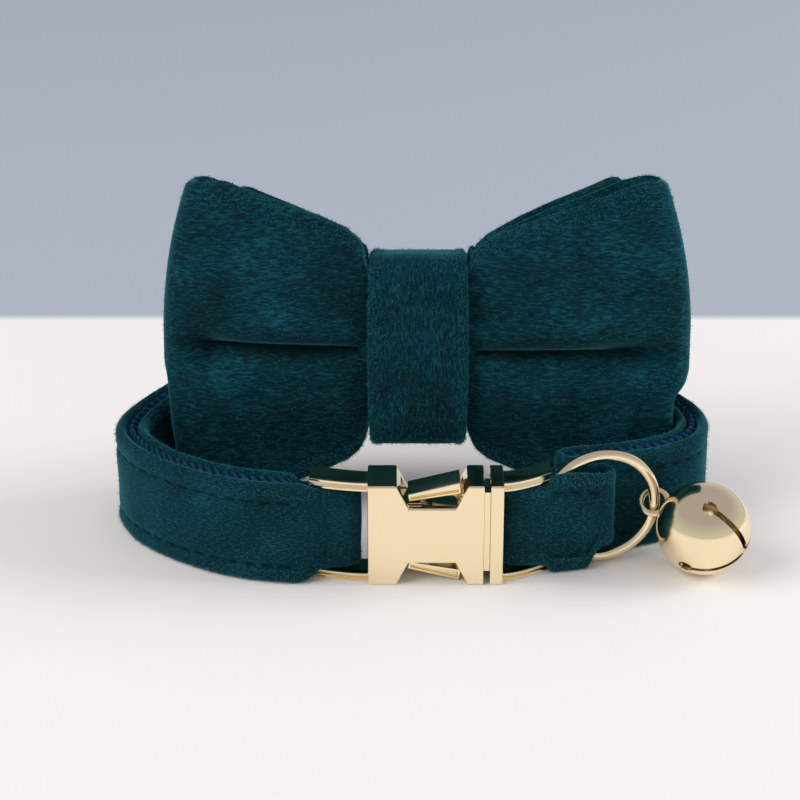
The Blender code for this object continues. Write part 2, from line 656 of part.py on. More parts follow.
def jingle_bell(collection, cutters, look, root):
    """Hollow ball with two crossed slots and a wire eye that holds the ring."""
    middle, axis = bell_frame()
    radius = BELL_DIAMETER / 2.0
    seat = bpy.data.objects.new("bell_seat", None)
    collection.objects.link(seat)
    seat.parent = root
    seat.location = middle
    yaw = math.atan2(axis[1], axis[0])
    pitch = math.atan2(-axis[2], math.hypot(axis[0], axis[1]))
    seat.rotation_euler = (math.radians(45.0), pitch, yaw)
    shape = bmesh.new()
    bmesh.ops.create_uvsphere(shape, u_segments=BELL_STATIONS, v_segments=BELL_ROWS,
                              radius=radius)
    mesh = bpy.data.meshes.new("bell")
    shape.to_mesh(mesh)
    shape.free()
    mesh.shade_smooth()
    bell = put_in(collection, "bell", mesh, look, seat)
    wall = bell.modifiers.new("wall", "SOLIDIFY")
    wall.thickness = BELL_WALL
    wall.offset = -1.0
    wire = torus_mesh("bell_eye", BELL_EYE, BELL_EYE_WIRE, EYE_STATIONS, EYE_SIDES)
    eye = bpy.data.objects.new("bell_eye", wire)
    cutters.objects.link(eye)
    eye.location = (-(radius + BELL_EYE / 2.0 - BELL_EYE_WIRE), 0.0, 0.0)
    eye.rotation_euler = (math.radians(EYE_TURN_DEG - 45.0), 0.0, 0.0)
    combine(bell, "UNION", eye)
    reach = BELL_DIAMETER
    start = BELL_SLOT_START
    slots = ((BELL_SLOT / 2.0, reach), (reach, BELL_SLOT / 2.0))
    for number, (wide, tall) in enumerate(slots):
        slab = box(cutters, "bell_slot_%d" % number, (start, -wide, -tall), (reach, wide, tall))
        combine(bell, "DIFFERENCE", slab)
        drill = rod(cutters, "bell_hole_%d" % number, 0.0, 0.0, -reach, reach, BELL_SLOT_END / 2.0)
        drill.location = (start, 0.0, 0.0)
        drill.rotation_euler = (math.pi / 2.0 * number, 0.0, 0.0)
        combine(bell, "DIFFERENCE", drill)
    return bell


def bow_height():
    """Height of the bow's middle, so that its lower corners press on the floor."""
    return WING_HEIGHT / 2.0 * math.cos(math.radians(BOW_LEAN_DEG)) - FLOOR_PRESS


def elastic_middle():
    """Middle of the elastic in the bow's own frame: height and depth."""
    lean = math.radians(BOW_LEAN_DEG)
    strap = VELVET + WEBBING + LINING + 2.0 * PLY_GAP
    depth = KNOT_DEPTH / 2.0 + 2.0 * STACK_GAP + ELASTIC_CLOTH + strap / 2.0
    middle = REAR_LIFT + STRAP_HEIGHT / 2.0 - bow_height()
    rise = (middle + depth * math.sin(lean)) / math.cos(lean)
    return rise, depth, strap


def bow_depth():
    """Place of the bow's middle behind the buckle's face, with the strap in the elastic."""
    lean = math.radians(BOW_LEAN_DEG)
    rise, depth, strap = elastic_middle()
    return LOOP_DEPTH - strap / 2.0 - depth * math.cos(lean) - rise * math.sin(lean)


def bow_seat(collection, root):
    """Empty at the bow's middle, leaning back."""
    seat = bpy.data.objects.new("bow_seat", None)
    collection.objects.link(seat)
    seat.parent = root
    seat.location = (BOW_X, bow_depth(), bow_height())
    seat.rotation_euler = (-math.radians(BOW_LEAN_DEG), 0.0, 0.0)
    return seat


def keep_inside(points, room):
    """Press the wings in, in plan, where the strap's lining stands beside or behind them."""
    lean = math.radians(BOW_LEAN_DEG)
    rise, depth, strap = elastic_middle()
    back = bow_depth()
    x = points[..., 0] + BOW_X
    y = back + points[..., 2] * math.cos(lean) + points[..., 1] * math.sin(lean)
    z = bow_height() + points[..., 1] * math.cos(lean) - points[..., 2] * math.sin(lean)
    place, outward, lift, strap_lean, outer, lining, gap, run = strap_layout(PRESS_SAMPLES)
    face = place - outward * (outer + gap + lining)[:, None]
    free = smooth((np.abs(points[..., 0]) - knot_side()) / KNOT_EASE)
    for step in range(3):
        apart = (x[..., None] - face[:, 0]) ** 2 + (y[..., None] - face[:, 1]) ** 2
        near = np.argmin(apart, axis=-1)
        away = outward[near]
        shift = (z - lift[near] - STRAP_HEIGHT / 2.0) * np.tan(strap_lean[near])
        over = ((x - face[near, 0]) * away[..., 0] + (y - face[near, 1]) * away[..., 1]
                - shift + room)
        beside = 1.0 - smooth((z - lift[near] - STRAP_HEIGHT) / PRESS_FADE)
        push = np.maximum(over, 0.0) * beside * free
        x = x - push * away[..., 0]
        y = y - push * away[..., 1]
    moved = np.empty_like(points)
    moved[..., 0] = x - BOW_X
    moved[..., 1] = (z - bow_height()) * math.cos(lean) + (y - back) * math.sin(lean)
    moved[..., 2] = (y - back) * math.cos(lean) - (z - bow_height()) * math.sin(lean)
    return moved


def press_flat(points):
    """Flatten what would reach below the floor, in the leaning frame."""
    lean = math.radians(BOW_LEAN_DEG)
    floor = (-bow_height() + points[..., 2] * math.sin(lean)) / math.cos(lean)
    points[..., 1] = np.maximum(points[..., 1], floor)
    return points


def to_blender(points):
    """From reach, height and depth to X, Y and Z of the bow's frame."""
    return points[..., [0, 2, 1]]


WING_ROWS = np.array([-1.0, -0.92, -0.68, -0.42, -0.24, -0.11, 0.0,
                      0.11, 0.24, 0.42, 0.68, 0.92, 1.0])


def knot_room():
    """Half height, and depths of the loop's two sheets, inside the knot."""
    height = KNOT_HEIGHT / 2.0 - KNOT_CLOTH - KNOT_INSET - STACK_GAP
    depth = KNOT_DEPTH / 2.0 - KNOT_CLOTH - STACK_GAP
    front = depth - WING_CLOTH / 2.0
    back = depth - BACK_PLY_CLOTH - WING_CLOTH / 2.0 - 2.0 * STACK_GAP
    return height, front, back


def knot_side():
    return KNOT_WIDTH / 2.0 * (1.0 + KNOT_WAIST) + STACK_GAP


def wing_surface(reach, rows, sheet):
    """One sheet of the bow: reach from -2 to 2, rows from -1 to 1.

    A reach under 1 lies inside the knot and the rest on the wing. The depth is
    fullest at the middle, less at the edges, and a valley crease presses the
    middle of the front sheet in.
    """
    size = np.abs(reach)
    out = np.maximum(size - 1.0, 0.0)
    height, front, back, edge, valley = (column[:, None] for column in by_reach(WING_TABLE, out))
    room_height, room_front, room_back = knot_room()
    widest = np.where(reach < 0.0, WING_REACH_LEFT, WING_REACH_RIGHT)
    lobes = np.abs(rows)[None, :]
    body = edge + (1.0 - edge) * np.cos(lobes * math.pi / 2.0)
    pull = 1.0 - SIDE_PULL * lobes ** 2.2 * (out ** 2)[:, None]
    x = np.sign(reach) * (knot_side() * np.minimum(size, 1.0) + (widest - knot_side()) * out)
    x = x[:, None] * pull
    z = (room_height + (WING_HEIGHT / 2.0 - room_height) * height) * rows[None, :]
    z = z * (1.0 - LOWER_EASE * (1.0 - out)[:, None] * (rows < 0.0)[None, :])
    if sheet == "front":
        crease = np.exp(-(lobes / VALLEY_WIDTH) ** 2) * valley * VALLEY_DEPTH
        y = crease - (room_front + (WING_FRONT - room_front) * front) * body
    else:
        y = (room_back + (WING_BACK - room_back) * back) * body
    return np.stack([x, z, y], axis=2)


def ply_cover(reach):
    """1 where the back ply lies behind the loop, and 0 beyond it."""
    ply_end = 1.0 + PLY_MARGIN + np.where(reach < 0.0, PLY_REACH_LEFT, PLY_REACH_RIGHT)
    return 1.0 - smooth((np.abs(reach) - ply_end) / PLY_FADE)[:, None]


def ply_room():
    """Depth that the back ply needs between the loop and the strap."""
    return BACK_PLY_CLOTH + 3.0 * STACK_GAP


def bow_loop(collection, look, seat):
    """Flat tube of velvet, pinched at the knot and folded at both sides."""
    widest = WING_TABLE[-1][0]
    rows = [row[0] for row in WING_TABLE]
    between = [(low + high) / 2.0 for low, high in zip(rows[3:-3], rows[4:-2])]
    shares = np.array([0.0, KNOT_STATION] + [1.0 + share for share in sorted(rows + between)])
    reach = np.concatenate([-shares[:0:-1], shares])
    covered = ply_cover(reach)
    behind = ply_room() * covered
    before = behind + (WING_CLOTH + 2.0 * STACK_GAP) * covered
    clear = WING_CLOTH / 2.0 + 2.0 * STACK_GAP
    front = keep_inside(wing_surface(reach, WING_ROWS, "front"), before + clear)
    back = keep_inside(wing_surface(reach, WING_ROWS, "back"), behind + clear)[::-1]
    angle = np.linspace(0.0, math.pi, FOLD_STATIONS + 2)[1:-1, None, None]

    def fold(start, end, side):
        centre = (start + end) / 2.0
        out = np.zeros_like(start)
        out[:, 0] = side * (1.0 - widest) * (WING_REACH_LEFT if side < 0.0 else WING_REACH_RIGHT)
        turned = centre + (start - centre) * np.cos(angle) + out * np.sin(angle)
        return keep_inside(turned, clear)

    right = fold(front[-1], back[0], 1.0)
    left = fold(back[-1], front[0], -1.0)
    middle = np.concatenate([front, right, back, left])
    sections = press_flat(cloth_sections(middle, WING_CLOTH, True, 0.5))
    mesh = mesh_from_grid("bow_loop", to_blender(sections), True)
    return put_in(collection, "bow_loop", mesh, look, seat)


def bow_back_ply(collection, look, seat):
    """Flat sheet that lies on the loop's back and shows above it at the right."""
    shares = np.array([KNOT_STATION] + [1.0 + row[0] for row in WING_TABLE])
    left = shares[shares < 1.0 + PLY_REACH_LEFT]
    right = shares[shares < 1.0 + PLY_REACH_RIGHT]
    reach = np.concatenate([[-1.0 - PLY_REACH_LEFT], -left[::-1], [0.0], right,
                            [1.0 + PLY_REACH_RIGHT]])
    clear = WING_CLOTH / 2.0 + 2.0 * STACK_GAP + ply_room() * ply_cover(reach)
    sheet = keep_inside(wing_surface(reach, WING_ROWS, "back"), clear)
    space = 2.0 * STACK_GAP + (WING_CLOTH + BACK_PLY_CLOTH) / 2.0
    out = smooth(np.abs(reach) - 1.0)[:, None]
    stand_off = space + PLY_SPREAD * out * smooth(WING_ROWS)[None, :]
    sheet = sheet + sheet_normals(sheet, False) * stand_off[:, :, None]
    sections = press_flat(cloth_sections(sheet, BACK_PLY_CLOTH, False, 0.5))
    mesh = mesh_from_grid("bow_back_ply", to_blender(sections), False)
    return put_in(collection, "bow_back_ply", mesh, look, seat)


def rounded_track(height, depth, corner, straight, turns):
    """Closed rounded rectangle in height and depth, as points."""
    points = []
    for up, deep, first in ((1, -1, 180.0), (1, 1, 90.0), (-1, 1, 0.0), (-1, -1, -90.0)):
        centre = (up * (height / 2.0 - corner), deep * (depth / 2.0 - corner))
        for step in range(turns + 1):
            angle = math.radians(first - 90.0 * step / turns)
            points.append((centre[0] + corner * math.sin(angle),
                           centre[1] + corner * math.cos(angle)))
    track = np.array(points)
    track = np.concatenate([track, track[:1]])
    length = np.concatenate([[0.0], np.cumsum(np.linalg.norm(np.diff(track, axis=0), axis=1))])
    knots = [0.0]
    for start, end in zip(length[:-1], length[1:]):
        parts = max(1, int(round((end - start) / straight)))
        knots.extend(start + (end - start) * (part + 1) / parts for part in range(parts))
    knots = np.array(knots[:-1])
    return np.stack([np.interp(knots, length, track[:, axis]) for axis in (0, 1)], axis=1)


def wrapped_band(collection, name, look, seat, track, width, cloth, centre, waist, rows):
    """Sheet that runs round a track in the upright plane, with its width along X."""
    half = np.max(np.abs(track[:, 0]))
    bulge = 1.0 + waist * (1.0 - (track[:, 0] / half) ** 2)
    across = np.linspace(-0.5, 0.5, rows)
    across[1] = -0.5 + BAND_RIM
    across[-2] = 0.5 - BAND_RIM
    x = width * bulge[:, None] * across[None, :]
    z = track[:, 0][:, None] + centre[0] + 0.0 * x
    y = track[:, 1][:, None] + centre[1] + 0.0 * x
    middle = np.stack([x, z, y], axis=2)
    mesh = mesh_from_grid(name, to_blender(cloth_sections(middle, cloth, True)), True)
    return put_in(collection, name, mesh, look, seat)


def bow_knot(collection, look, seat):
    track = rounded_track(KNOT_HEIGHT - KNOT_CLOTH, KNOT_DEPTH - KNOT_CLOTH,
                          KNOT_CORNER, KNOT_HEIGHT / 6.0, 4)
    return wrapped_band(collection, "bow_knot", look, seat, track, KNOT_WIDTH, KNOT_CLOTH,
                        (0.0, 0.0), KNOT_WAIST, 5)


def elastic_loop(collection, look, seat):
    rise, depth, strap = elastic_middle()
    height = STRAP_HEIGHT + 2.0 * STACK_GAP + ELASTIC_CLOTH
    deep = strap + 2.0 * STACK_GAP + ELASTIC_CLOTH
    track = rounded_track(height, deep, ELASTIC_CORNER, height / 3.0, 3)
    return wrapped_band(collection, "elastic_loop", look, seat, track, ELASTIC_WIDTH,
                        ELASTIC_CLOTH, (rise, depth), 0.0, 4)


def settle(root, collection):
    """Bring the middle of the lowest plane of the whole part to the origin."""
    bpy.context.view_layer.update()
    graph = bpy.context.evaluated_depsgraph_get()
    low = np.full(3, np.inf)
    high = np.full(3, -np.inf)
    for piece in collection.objects:
        if piece.type != "MESH":
            continue
        shown = piece.evaluated_get(graph)
        mesh = shown.to_mesh()
        points = np.empty(len(mesh.vertices) * 3)
        mesh.vertices.foreach_get("co", points)
        matrix = np.array(shown.matrix_world)
        world = points.reshape(-1, 3) @ matrix[:3, :3].T + matrix[:3, 3]
        low = np.minimum(low, world.min(axis=0))
        high = np.maximum(high, world.max(axis=0))
        shown.to_mesh_clear()
    root.location = (-(low[0] + high[0]) / 2.0, -(low[1] + high[1]) / 2.0, -low[2])
    bpy.context.view_layer.update()


def build():
    for old in list(bpy.data.objects):
        bpy.data.objects.remove(old, do_unlink=True)
    collection = bpy.data.collections.new("pet_bow_tie_collar")
    cutters = bpy.data.collections.new("cutters")
    bpy.context.scene.collection.children.link(collection)
    bpy.context.scene.collection.children.link(cutters)
    velvet = material("teal velvet", (0.006, 0.062, 0.070), 0.85)
    tape = material("navy webbing", (0.005, 0.045, 0.110), 0.7)
    elastic = material("teal elastic", (0.004, 0.050, 0.060), 0.8)
    gold = material("pale gold plating", (0.84, 0.69, 0.44), 0.15, 1.0)
    root = bpy.data.objects.new("collar_origin", None)
    collection.objects.link(root)
    strap_cover(collection, velvet, root)
    strap_webbing(collection, tape, root)
    ring_tab(collection, velvet, root)
    buckle_body(collection, cutters, gold, root)
    buckle_tail(collection, cutters, gold, root)
    release_lever(collection, "release_lever_top", 1, gold, root)
    release_lever(collection, "release_lever_bottom", -1, gold, root)
    holding_ring(collection, gold, root)
    jingle_bell(collection, cutters, gold, root)
    seat = bow_seat(collection, root)
    bow_loop(collection, velvet, seat)
    bow_back_ply(collection, velvet, seat)
    bow_knot(collection, velvet, seat)
    elastic_loop(collection, elastic, seat)
    settle(root, collection)


build()
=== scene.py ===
# The looks of a velvet pet collar with a bow, a bell and a gold buckle, worked out round
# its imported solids. Metres, +Z up, the buckle's face towards -Y.
import math

import bpy
import numpy as np
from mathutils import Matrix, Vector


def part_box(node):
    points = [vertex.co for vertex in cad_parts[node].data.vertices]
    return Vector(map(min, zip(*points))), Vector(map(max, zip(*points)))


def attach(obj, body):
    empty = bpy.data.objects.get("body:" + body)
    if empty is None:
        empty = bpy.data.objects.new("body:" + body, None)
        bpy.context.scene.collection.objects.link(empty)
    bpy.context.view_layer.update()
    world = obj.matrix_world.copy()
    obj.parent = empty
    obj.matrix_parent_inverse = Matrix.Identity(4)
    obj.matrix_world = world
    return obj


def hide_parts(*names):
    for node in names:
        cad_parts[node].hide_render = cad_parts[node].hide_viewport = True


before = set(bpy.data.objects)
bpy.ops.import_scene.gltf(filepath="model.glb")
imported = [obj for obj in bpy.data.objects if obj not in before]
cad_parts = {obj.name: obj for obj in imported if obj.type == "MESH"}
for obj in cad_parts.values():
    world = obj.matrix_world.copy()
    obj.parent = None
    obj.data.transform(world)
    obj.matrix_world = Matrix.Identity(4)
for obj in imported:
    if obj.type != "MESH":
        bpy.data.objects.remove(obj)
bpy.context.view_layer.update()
print("stage 1: the packed solids are loaded")


def toLinear(text):
    # sRGB hex to linear colour
    parts = np.array([int(text[i:i + 2], 16) for i in (1, 3, 5)]) / 255.0
    linear = np.where(parts <= 0.04045, parts / 12.92, ((parts + 0.055) / 1.055) ** 2.4)
    return (*linear.tolist(), 1.0)


def linkInputs(material, node, links):
    for name, socket in dict(links).items():
        material.node_tree.links.new(socket, node.inputs[name])


def addNode(material, kind, settings=(), links=()):
    # settings: attribute or input name to value; links: input name to an output socket
    node = material.node_tree.nodes.new(kind)
    for name, value in dict(settings).items():
        if name in node.inputs:
            node.inputs[name].default_value = value
        else:
            setattr(node, name, value)
    linkInputs(material, node, links)
    return node


def newMaterial(name, settings):
    made = bpy.data.materials.new(name)
    made.use_nodes = True
    shader = made.node_tree.nodes["Principled BSDF"]
    for key, value in settings.items():
        shader.inputs[key].default_value = value
    return made, shader


def setRamp(node, stops):
    # stops: place and hex colour, from low to high
    ramp = node.color_ramp
    while len(ramp.elements) < len(stops):
        ramp.elements.new(0.5)
    for element, (place, colour) in zip(ramp.elements, stops):
        element.position = place
        element.color = toLinear(colour)
    return node


# ---- shapes shared by the cloth pieces

def smoothStep(t):
    # 0 below 0, 1 above 1, and 3t^2 - 2t^3 between them
    t = np.clip(t, 0.0, 1.0)
    return t * t * (3.0 - 2.0 * t)


def alongRows(table, shares):
    # Catmull-Rom curve through a table's rows, read at shares of its length
    rows = np.array(table, float)
    last = len(rows) - 1
    place = np.clip(shares, 0.0, 1.0) * last
    low = np.minimum(place.astype(int), last - 1)
    t = (place - low)[:, None]
    before = rows[np.maximum(low - 1, 0)]
    start = rows[low]
    end = rows[low + 1]
    after = rows[np.minimum(low + 2, last)]
    return 0.5 * (2.0 * start + (end - before) * t
                  + (2.0 * before - 5.0 * start + 4.0 * end - after) * t ** 2
                  + (3.0 * start - 3.0 * end + after - before) * t ** 3)


def readTable(table, reach, soften):
    # columns at given values of the first one, with the bends at the rows rounded off
    # by a moving bell-shaped average that is soften wide
    rows = np.array(table, float)
    samples = 600
    fine = np.linspace(rows[0, 0], rows[-1, 0], samples)
    window = np.hanning(int(samples * soften) | 1)
    window /= window.sum()
    columns = []
    for column in rows.T[1:]:
        values = np.interp(fine, rows[:, 0], column)
        padded = np.pad(values, len(window) // 2, mode="reflect", reflect_type="odd")
        columns.append(np.interp(reach, fine, np.convolve(padded, window, "valid"))[:, None])
    return columns


def lengthsAlong(grid, axis, closed):
    # mean running length over the grid, with one more value that closes it
    step = np.roll(grid, -1, axis=axis) - grid
    step = np.linalg.norm(step, axis=2).mean(axis=1 - axis)
    if not closed:
        step[-1] = 0.0
    return np.concatenate([[0.0], np.cumsum(step)])


def sheetNormals(middle, closed):
    # normalised cross product of the steps along the stations and along the rows
    if closed:
        forward = np.roll(middle, -1, axis=0) - np.roll(middle, 1, axis=0)
    else:
        forward = np.gradient(middle, axis=0)
    normal = np.cross(forward, np.gradient(middle, axis=1))
    return normal / np.maximum(np.linalg.norm(normal, axis=2, keepdims=True), 1e-12)


def edgeRounding(middle, closed, rim):
    # share of the full thickness: a quarter ellipse over the last rim of cloth at each edge,
    # and never less than 0.16
    step = np.linalg.norm(np.diff(middle, axis=1), axis=2)
    run = np.concatenate([np.zeros((len(middle), 1)), np.cumsum(step, axis=1)], axis=1)
    inside = np.minimum(run, run[:, -1:] - run)
    if not closed:
        step = np.linalg.norm(np.diff(middle, axis=0), axis=2)
        run = np.concatenate([np.zeros((1, middle.shape[1])), np.cumsum(step, axis=0)])
        inside = np.minimum(inside, np.minimum(run, run[-1:] - run))
    near = 1.0 - np.clip(inside / rim, 0.0, 1.0)
    return np.maximum(np.sqrt(1.0 - near ** 2), 0.16)


def clothSections(middle, thickness, closed, rim, outerDip=0.0, turn=1.0):
    # both faces lie half a thickness from the middle surface, and the outer one, to the
    # side that turn gives, is pressed in by outerDip; every row is one closed section
    normal = sheetNormals(middle, closed) * turn
    half = thickness / 2.0 * edgeRounding(middle, closed, rim)
    outer = middle + normal * np.maximum(half - outerDip, 0.1 * half)[:, :, None]
    inner = middle - normal * half[:, :, None]
    return np.concatenate([outer, inner[:, ::-1]], axis=1)


def loftMesh(name, grid, closed, marks=None):
    # quads between neighbouring sections, end faces on an open loft, uv in centimetres
    count, sides = grid.shape[:2]
    i = np.arange(count if closed else count - 1)[:, None]
    j = np.arange(sides)[None, :]
    iNext = (i + 1) % count
    jNext = (j + 1) % sides
    faces = np.stack([i * sides + j, i * sides + jNext, iNext * sides + jNext,
                      iNext * sides + j], axis=-1).reshape(-1, 4)
    along = lengthsAlong(grid, 0, closed) * 100.0
    across = lengthsAlong(grid, 1, True) * 100.0
    corners = [np.stack(np.broadcast_arrays(along[a], across[b]), axis=-1)
               for a, b in ((i, j), (i, j + 1), (i + 1, j + 1), (i + 1, j))]
    uv = np.stack(corners, axis=2).reshape(-1, 4, 2)
    points = grid.reshape(-1, 3)
    a, b, c, d = (points[faces[:, k]] for k in range(4))
    volume = (a * np.cross(b, c)).sum() + (a * np.cross(c, d)).sum()
    first = np.arange(sides)
    last = (count - 1) * sides + first[::-1]
    if volume < 0.0:
        faces = faces[:, ::-1]
        uv = uv[:, ::-1]
    else:
        first = first[::-1]
        last = last[::-1]
    ends = [] if closed else [first.tolist(), last.tolist()]
    mesh = bpy.data.meshes.new(name)
    mesh.from_pydata(points.tolist(), [], faces.tolist() + ends)
    layer = mesh.uv_layers.new(name="cloth")
    flat = np.concatenate([uv.reshape(-1), np.zeros(4 * sides if ends else 0)])
    layer.data.foreach_set("uv", flat)
    for key, values in (marks or {}).items():
        attribute = mesh.attributes.new(key, "FLOAT", "POINT")
        attribute.data.foreach_set("value", values.reshape(-1).astype(np.float32))
    mesh.shade_smooth()
    mesh.update()
    return mesh


def newObject(name, data):
    made = bpy.data.objects.new(name, data)
    bpy.context.scene.collection.objects.link(made)
    return made


def placePiece(name, mesh, look, nodes=(), body="collar"):
    piece = newObject(name, mesh)
    mesh.materials.append(look)
    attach(piece, body)
    if nodes:
        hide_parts(*nodes)
    return piece


def softened(points, times):
    # each point moves halfway to the mean of its four neighbours; the edges stay
    for turn in range(times):
        inner = (points[:-2, 1:-1] + points[2:, 1:-1] + points[1:-1, :-2] + points[1:-1, 2:]) / 4.0
        moved = points.copy()
        moved[1:-1, 1:-1] = (points[1:-1, 1:-1] + inner) / 2.0
        points = moved
    return points


def waver(points, amount, size):
    # slow hand-made unevenness: three sine waves across each other, size long
    phase = points @ np.array([[1.0, 0.7, -0.4], [0.5, -1.1, 0.9], [-0.8, 0.6, 1.2]]) / size
    return amount * np.sin(phase * 2.0 * math.pi).sum(axis=-1) / 3.0


# ---- short pile that stands off the cloth and catches the light at its edges, in a lighter colour that is painted sheen

pile = {"length": 0.00050, "radius": 0.000035, "fall": 0.4, "jitter": 0.35, "rimShare": 0.6,
        "pressedShadeMost": 0.2}


def makePile(piece, sections, rimRows, count, seed, nap=(0.0, 0.0, -1.0)):
    # thin three-sided spikes on random places of the outer face and, more closely, round
    # the cut edges, but none where the cloth is pressed and its shade painted dark; each leans
    # along the nap, and all of them are one mesh
    rng = np.random.default_rng(seed)
    stations, around = sections.shape[:2]
    rows = around // 2
    atRim = np.arange(count) < count * pile["rimShare"]
    i = rng.integers(0, stations - 1, count)
    j = rng.integers(0, rows - 1, count)
    edge = rng.integers(-rimRows, rimRows, count) + rows * rng.integers(0, 2, count)
    j = np.where(atRim, edge, j) % around
    pressed = np.zeros(stations * around, np.float32)
    if "pressed" in piece.data.attributes:
        piece.data.attributes["pressed"].data.foreach_get("value", pressed)
    here = sections[i, j]
    side = sections[i + 1, j] - here
    up = sections[i, (j + 1) % around] - here
    normal = np.cross(side, up)
    area = np.linalg.norm(normal, axis=1)
    keep = atRim | (rng.random(count) < area / np.quantile(area[~atRim], 0.95))
    keep = keep & (area > 0.0) & (pressed.reshape(stations, around)[i, j] < pile["pressedShadeMost"])
    opposite = sections[i, (2 * rows - 1 - j) % around]
    normal = normal * np.sign(((here - opposite) * normal).sum(axis=1))[:, None]
    here, side, up, normal, area = (values[keep] for values in (here, side, up, normal, area))
    normal = normal / area[:, None]
    total = len(here)
    a, b = rng.random((2, total, 1))
    base = here + side * a + up * b
    side = side / np.maximum(np.linalg.norm(side, axis=1, keepdims=True), 1e-12)
    across = np.cross(normal, side)
    lean = np.array(nap) * pile["fall"] + rng.normal(0.0, pile["jitter"], (total, 3))
    direction = normal + lean
    direction /= np.linalg.norm(direction, axis=1, keepdims=True)
    tip = base + direction * pile["length"] * rng.uniform(0.5, 1.2, (total, 1))
    radius = pile["radius"]
    root = base - normal * radius
    corners = [root + radius * (side * math.cos(turn) + across * math.sin(turn))
               for turn in (0.0, 2.0 * math.pi / 3.0, 4.0 * math.pi / 3.0)]
    points = np.stack([*corners, tip], axis=1).reshape(-1, 3)
    first = 4 * np.arange(total)[:, None, None]
    faces = (first + np.array([[0, 1, 3], [1, 2, 3], [2, 0, 3], [2, 1, 0]])[None]).reshape(-1, 3)
    mesh = bpy.data.meshes.new(piece.name + "Pile")
    mesh.from_pydata(points.tolist(), [], faces.tolist())
    mesh.update()
    return placePiece(mesh.name, mesh, pileSheenLook)


# ---- the strap's path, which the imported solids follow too

strap = {
    "height": 0.017, "halfWidth": 0.048, "depth": 0.0435,
    "velvet": 0.0018, "webbing": 0.0012, "lining": 0.0014, "gap": 0.0003,
    "rearLift": 0.012, "leanDeg": 7.0,
    "pinchRun": 0.0040, "frontHold": 0.0012, "wrapRun": 0.0056, "endRun": 0.0218,
    "stations": 470, "rows": 22, "rim": 0.0011, "wrapBulge": 2.1,
    # stitchShade: how far the stitch dents are darkened in colour, as painted shade
    "stitchIn": 0.0031, "stitchPitch": 0.0029, "stitchDip": 0.00028, "stitchShade": 0.7,
    "threadWide": 0.00028, "grooveWide": 0.0007, "unevenDepth": 0.00010, "unevenLong": 0.011,
    "stitchFrom": 0.004, "stitchFade": 0.002, "turns": 12,
    "tapeThickness": 0.0016, "tapeRim": 0.0006, "tapeRows": 9, "tapeStations": 1100,
    "twistPitch": 0.0011, "twistDepth": 0.00016,
}
buckle = {
    "height": 0.017, "depth": 0.008, "left": -0.007, "body": 0.018, "gap": 0.0009,
    "plate": 0.0021, "armLeft": 0.0090, "armRight": 0.0074, "armThick": 0.0014,
    "armDepth": 0.0046, "armFront": 0.0015, "sweepLeft": 0.0022, "sweepRight": 0.0042,
    "bar": 0.0008, "barLeft": 0.64, "barRight": 0.50, "metalGap": 0.0003,
}
tab = {
    "velvet": 0.0012, "reach": 0.0142, "turnDeg": 12.0, "ringBefore": 0.0021,
    "drop": 0.0006, "hold": 0.65, "stations": 90, "turns": 14,
    "cornerLift": 0.0038, "cornerRun": 0.0026, "pinchRun": 0.0016, "wrapBulge": 1.9,
    "stitchFrom": 0.003, "unevenDepth": 0.00008, "unevenLong": 0.009, "rim": 0.0009,
}
ringSize = {"diameter": 0.0193, "wire": 0.0018, "floorGap": 0.0003,
            "around": 160, "section": 32}
# x share, y share, lift share, lean share and bulk share of the strap's outer face
loopTable = [
    (-0.262, 0.000, 0.00, 0.0, 1.00), (-0.420, 0.003, 0.00, 0.0, 1.30),
    (-0.560, 0.035, 0.00, 0.0, 1.25), (-0.700, 0.108, 0.00, 0.0, 1.15),
    (-0.832, 0.215, 0.00, 0.0, 1.00), (-0.935, 0.340, 0.00, 0.0, 1.00),
    (-0.992, 0.470, 0.00, 0.0, 1.00), (-0.998, 0.575, 0.01, 0.0, 1.00),
    (-0.965, 0.680, 0.04, 0.0, 1.00), (-0.890, 0.785, 0.12, 0.1, 1.00),
    (-0.730, 0.890, 0.33, 0.3, 1.00), (-0.480, 0.962, 0.68, 0.7, 1.00),
    (-0.200, 0.996, 0.96, 1.0, 1.00), (0.019, 1.000, 1.00, 1.0, 1.00),
    (0.240, 0.996, 0.95, 1.0, 1.00), (0.520, 0.970, 0.66, 0.7, 1.00),
    (0.760, 0.905, 0.30, 0.3, 1.00), (0.915, 0.805, 0.08, 0.1, 1.00),
    (0.988, 0.690, 0.01, 0.0, 1.00), (1.004, 0.570, 0.00, 0.0, 1.00),
    (0.965, 0.440, 0.00, 0.0, 1.00), (0.880, 0.348, 0.00, 0.0, 1.00),
    (0.770, 0.285, 0.00, 0.0, 1.00), (0.655, 0.243, 0.00, 0.0, 1.00),
    (0.530, 0.212, 0.00, 0.0, 1.00),
]
# from the part's own axes, which start at the buckle's face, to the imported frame
shift = np.array(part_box("buckle_body")[0]) - (buckle["left"] - buckle["armLeft"], 0.0, 0.0)


def armMiddle(share, sweep):
    return buckle["armFront"] + buckle["armDepth"] / 2.0 + sweep * share ** 1.5


leftBar = np.array([buckle["left"] - buckle["barLeft"] * buckle["armLeft"],
                    armMiddle(buckle["barLeft"], buckle["sweepLeft"])])
tailRight = buckle["left"] + buckle["body"] + buckle["gap"] + buckle["plate"]
rightBar = np.array([tailRight + buckle["barRight"] * buckle["armRight"],
                     armMiddle(buckle["barRight"], buckle["sweepRight"])])
tabTurn = math.radians(tab["turnDeg"])
tabAlong = np.array([math.cos(tabTurn), math.sin(tabTurn)])
ringMiddle = np.array([*(rightBar + tabAlong * (tab["reach"] - tab["ringBefore"])),
                       ringSize["diameter"] / 2.0 + ringSize["floorGap"]])


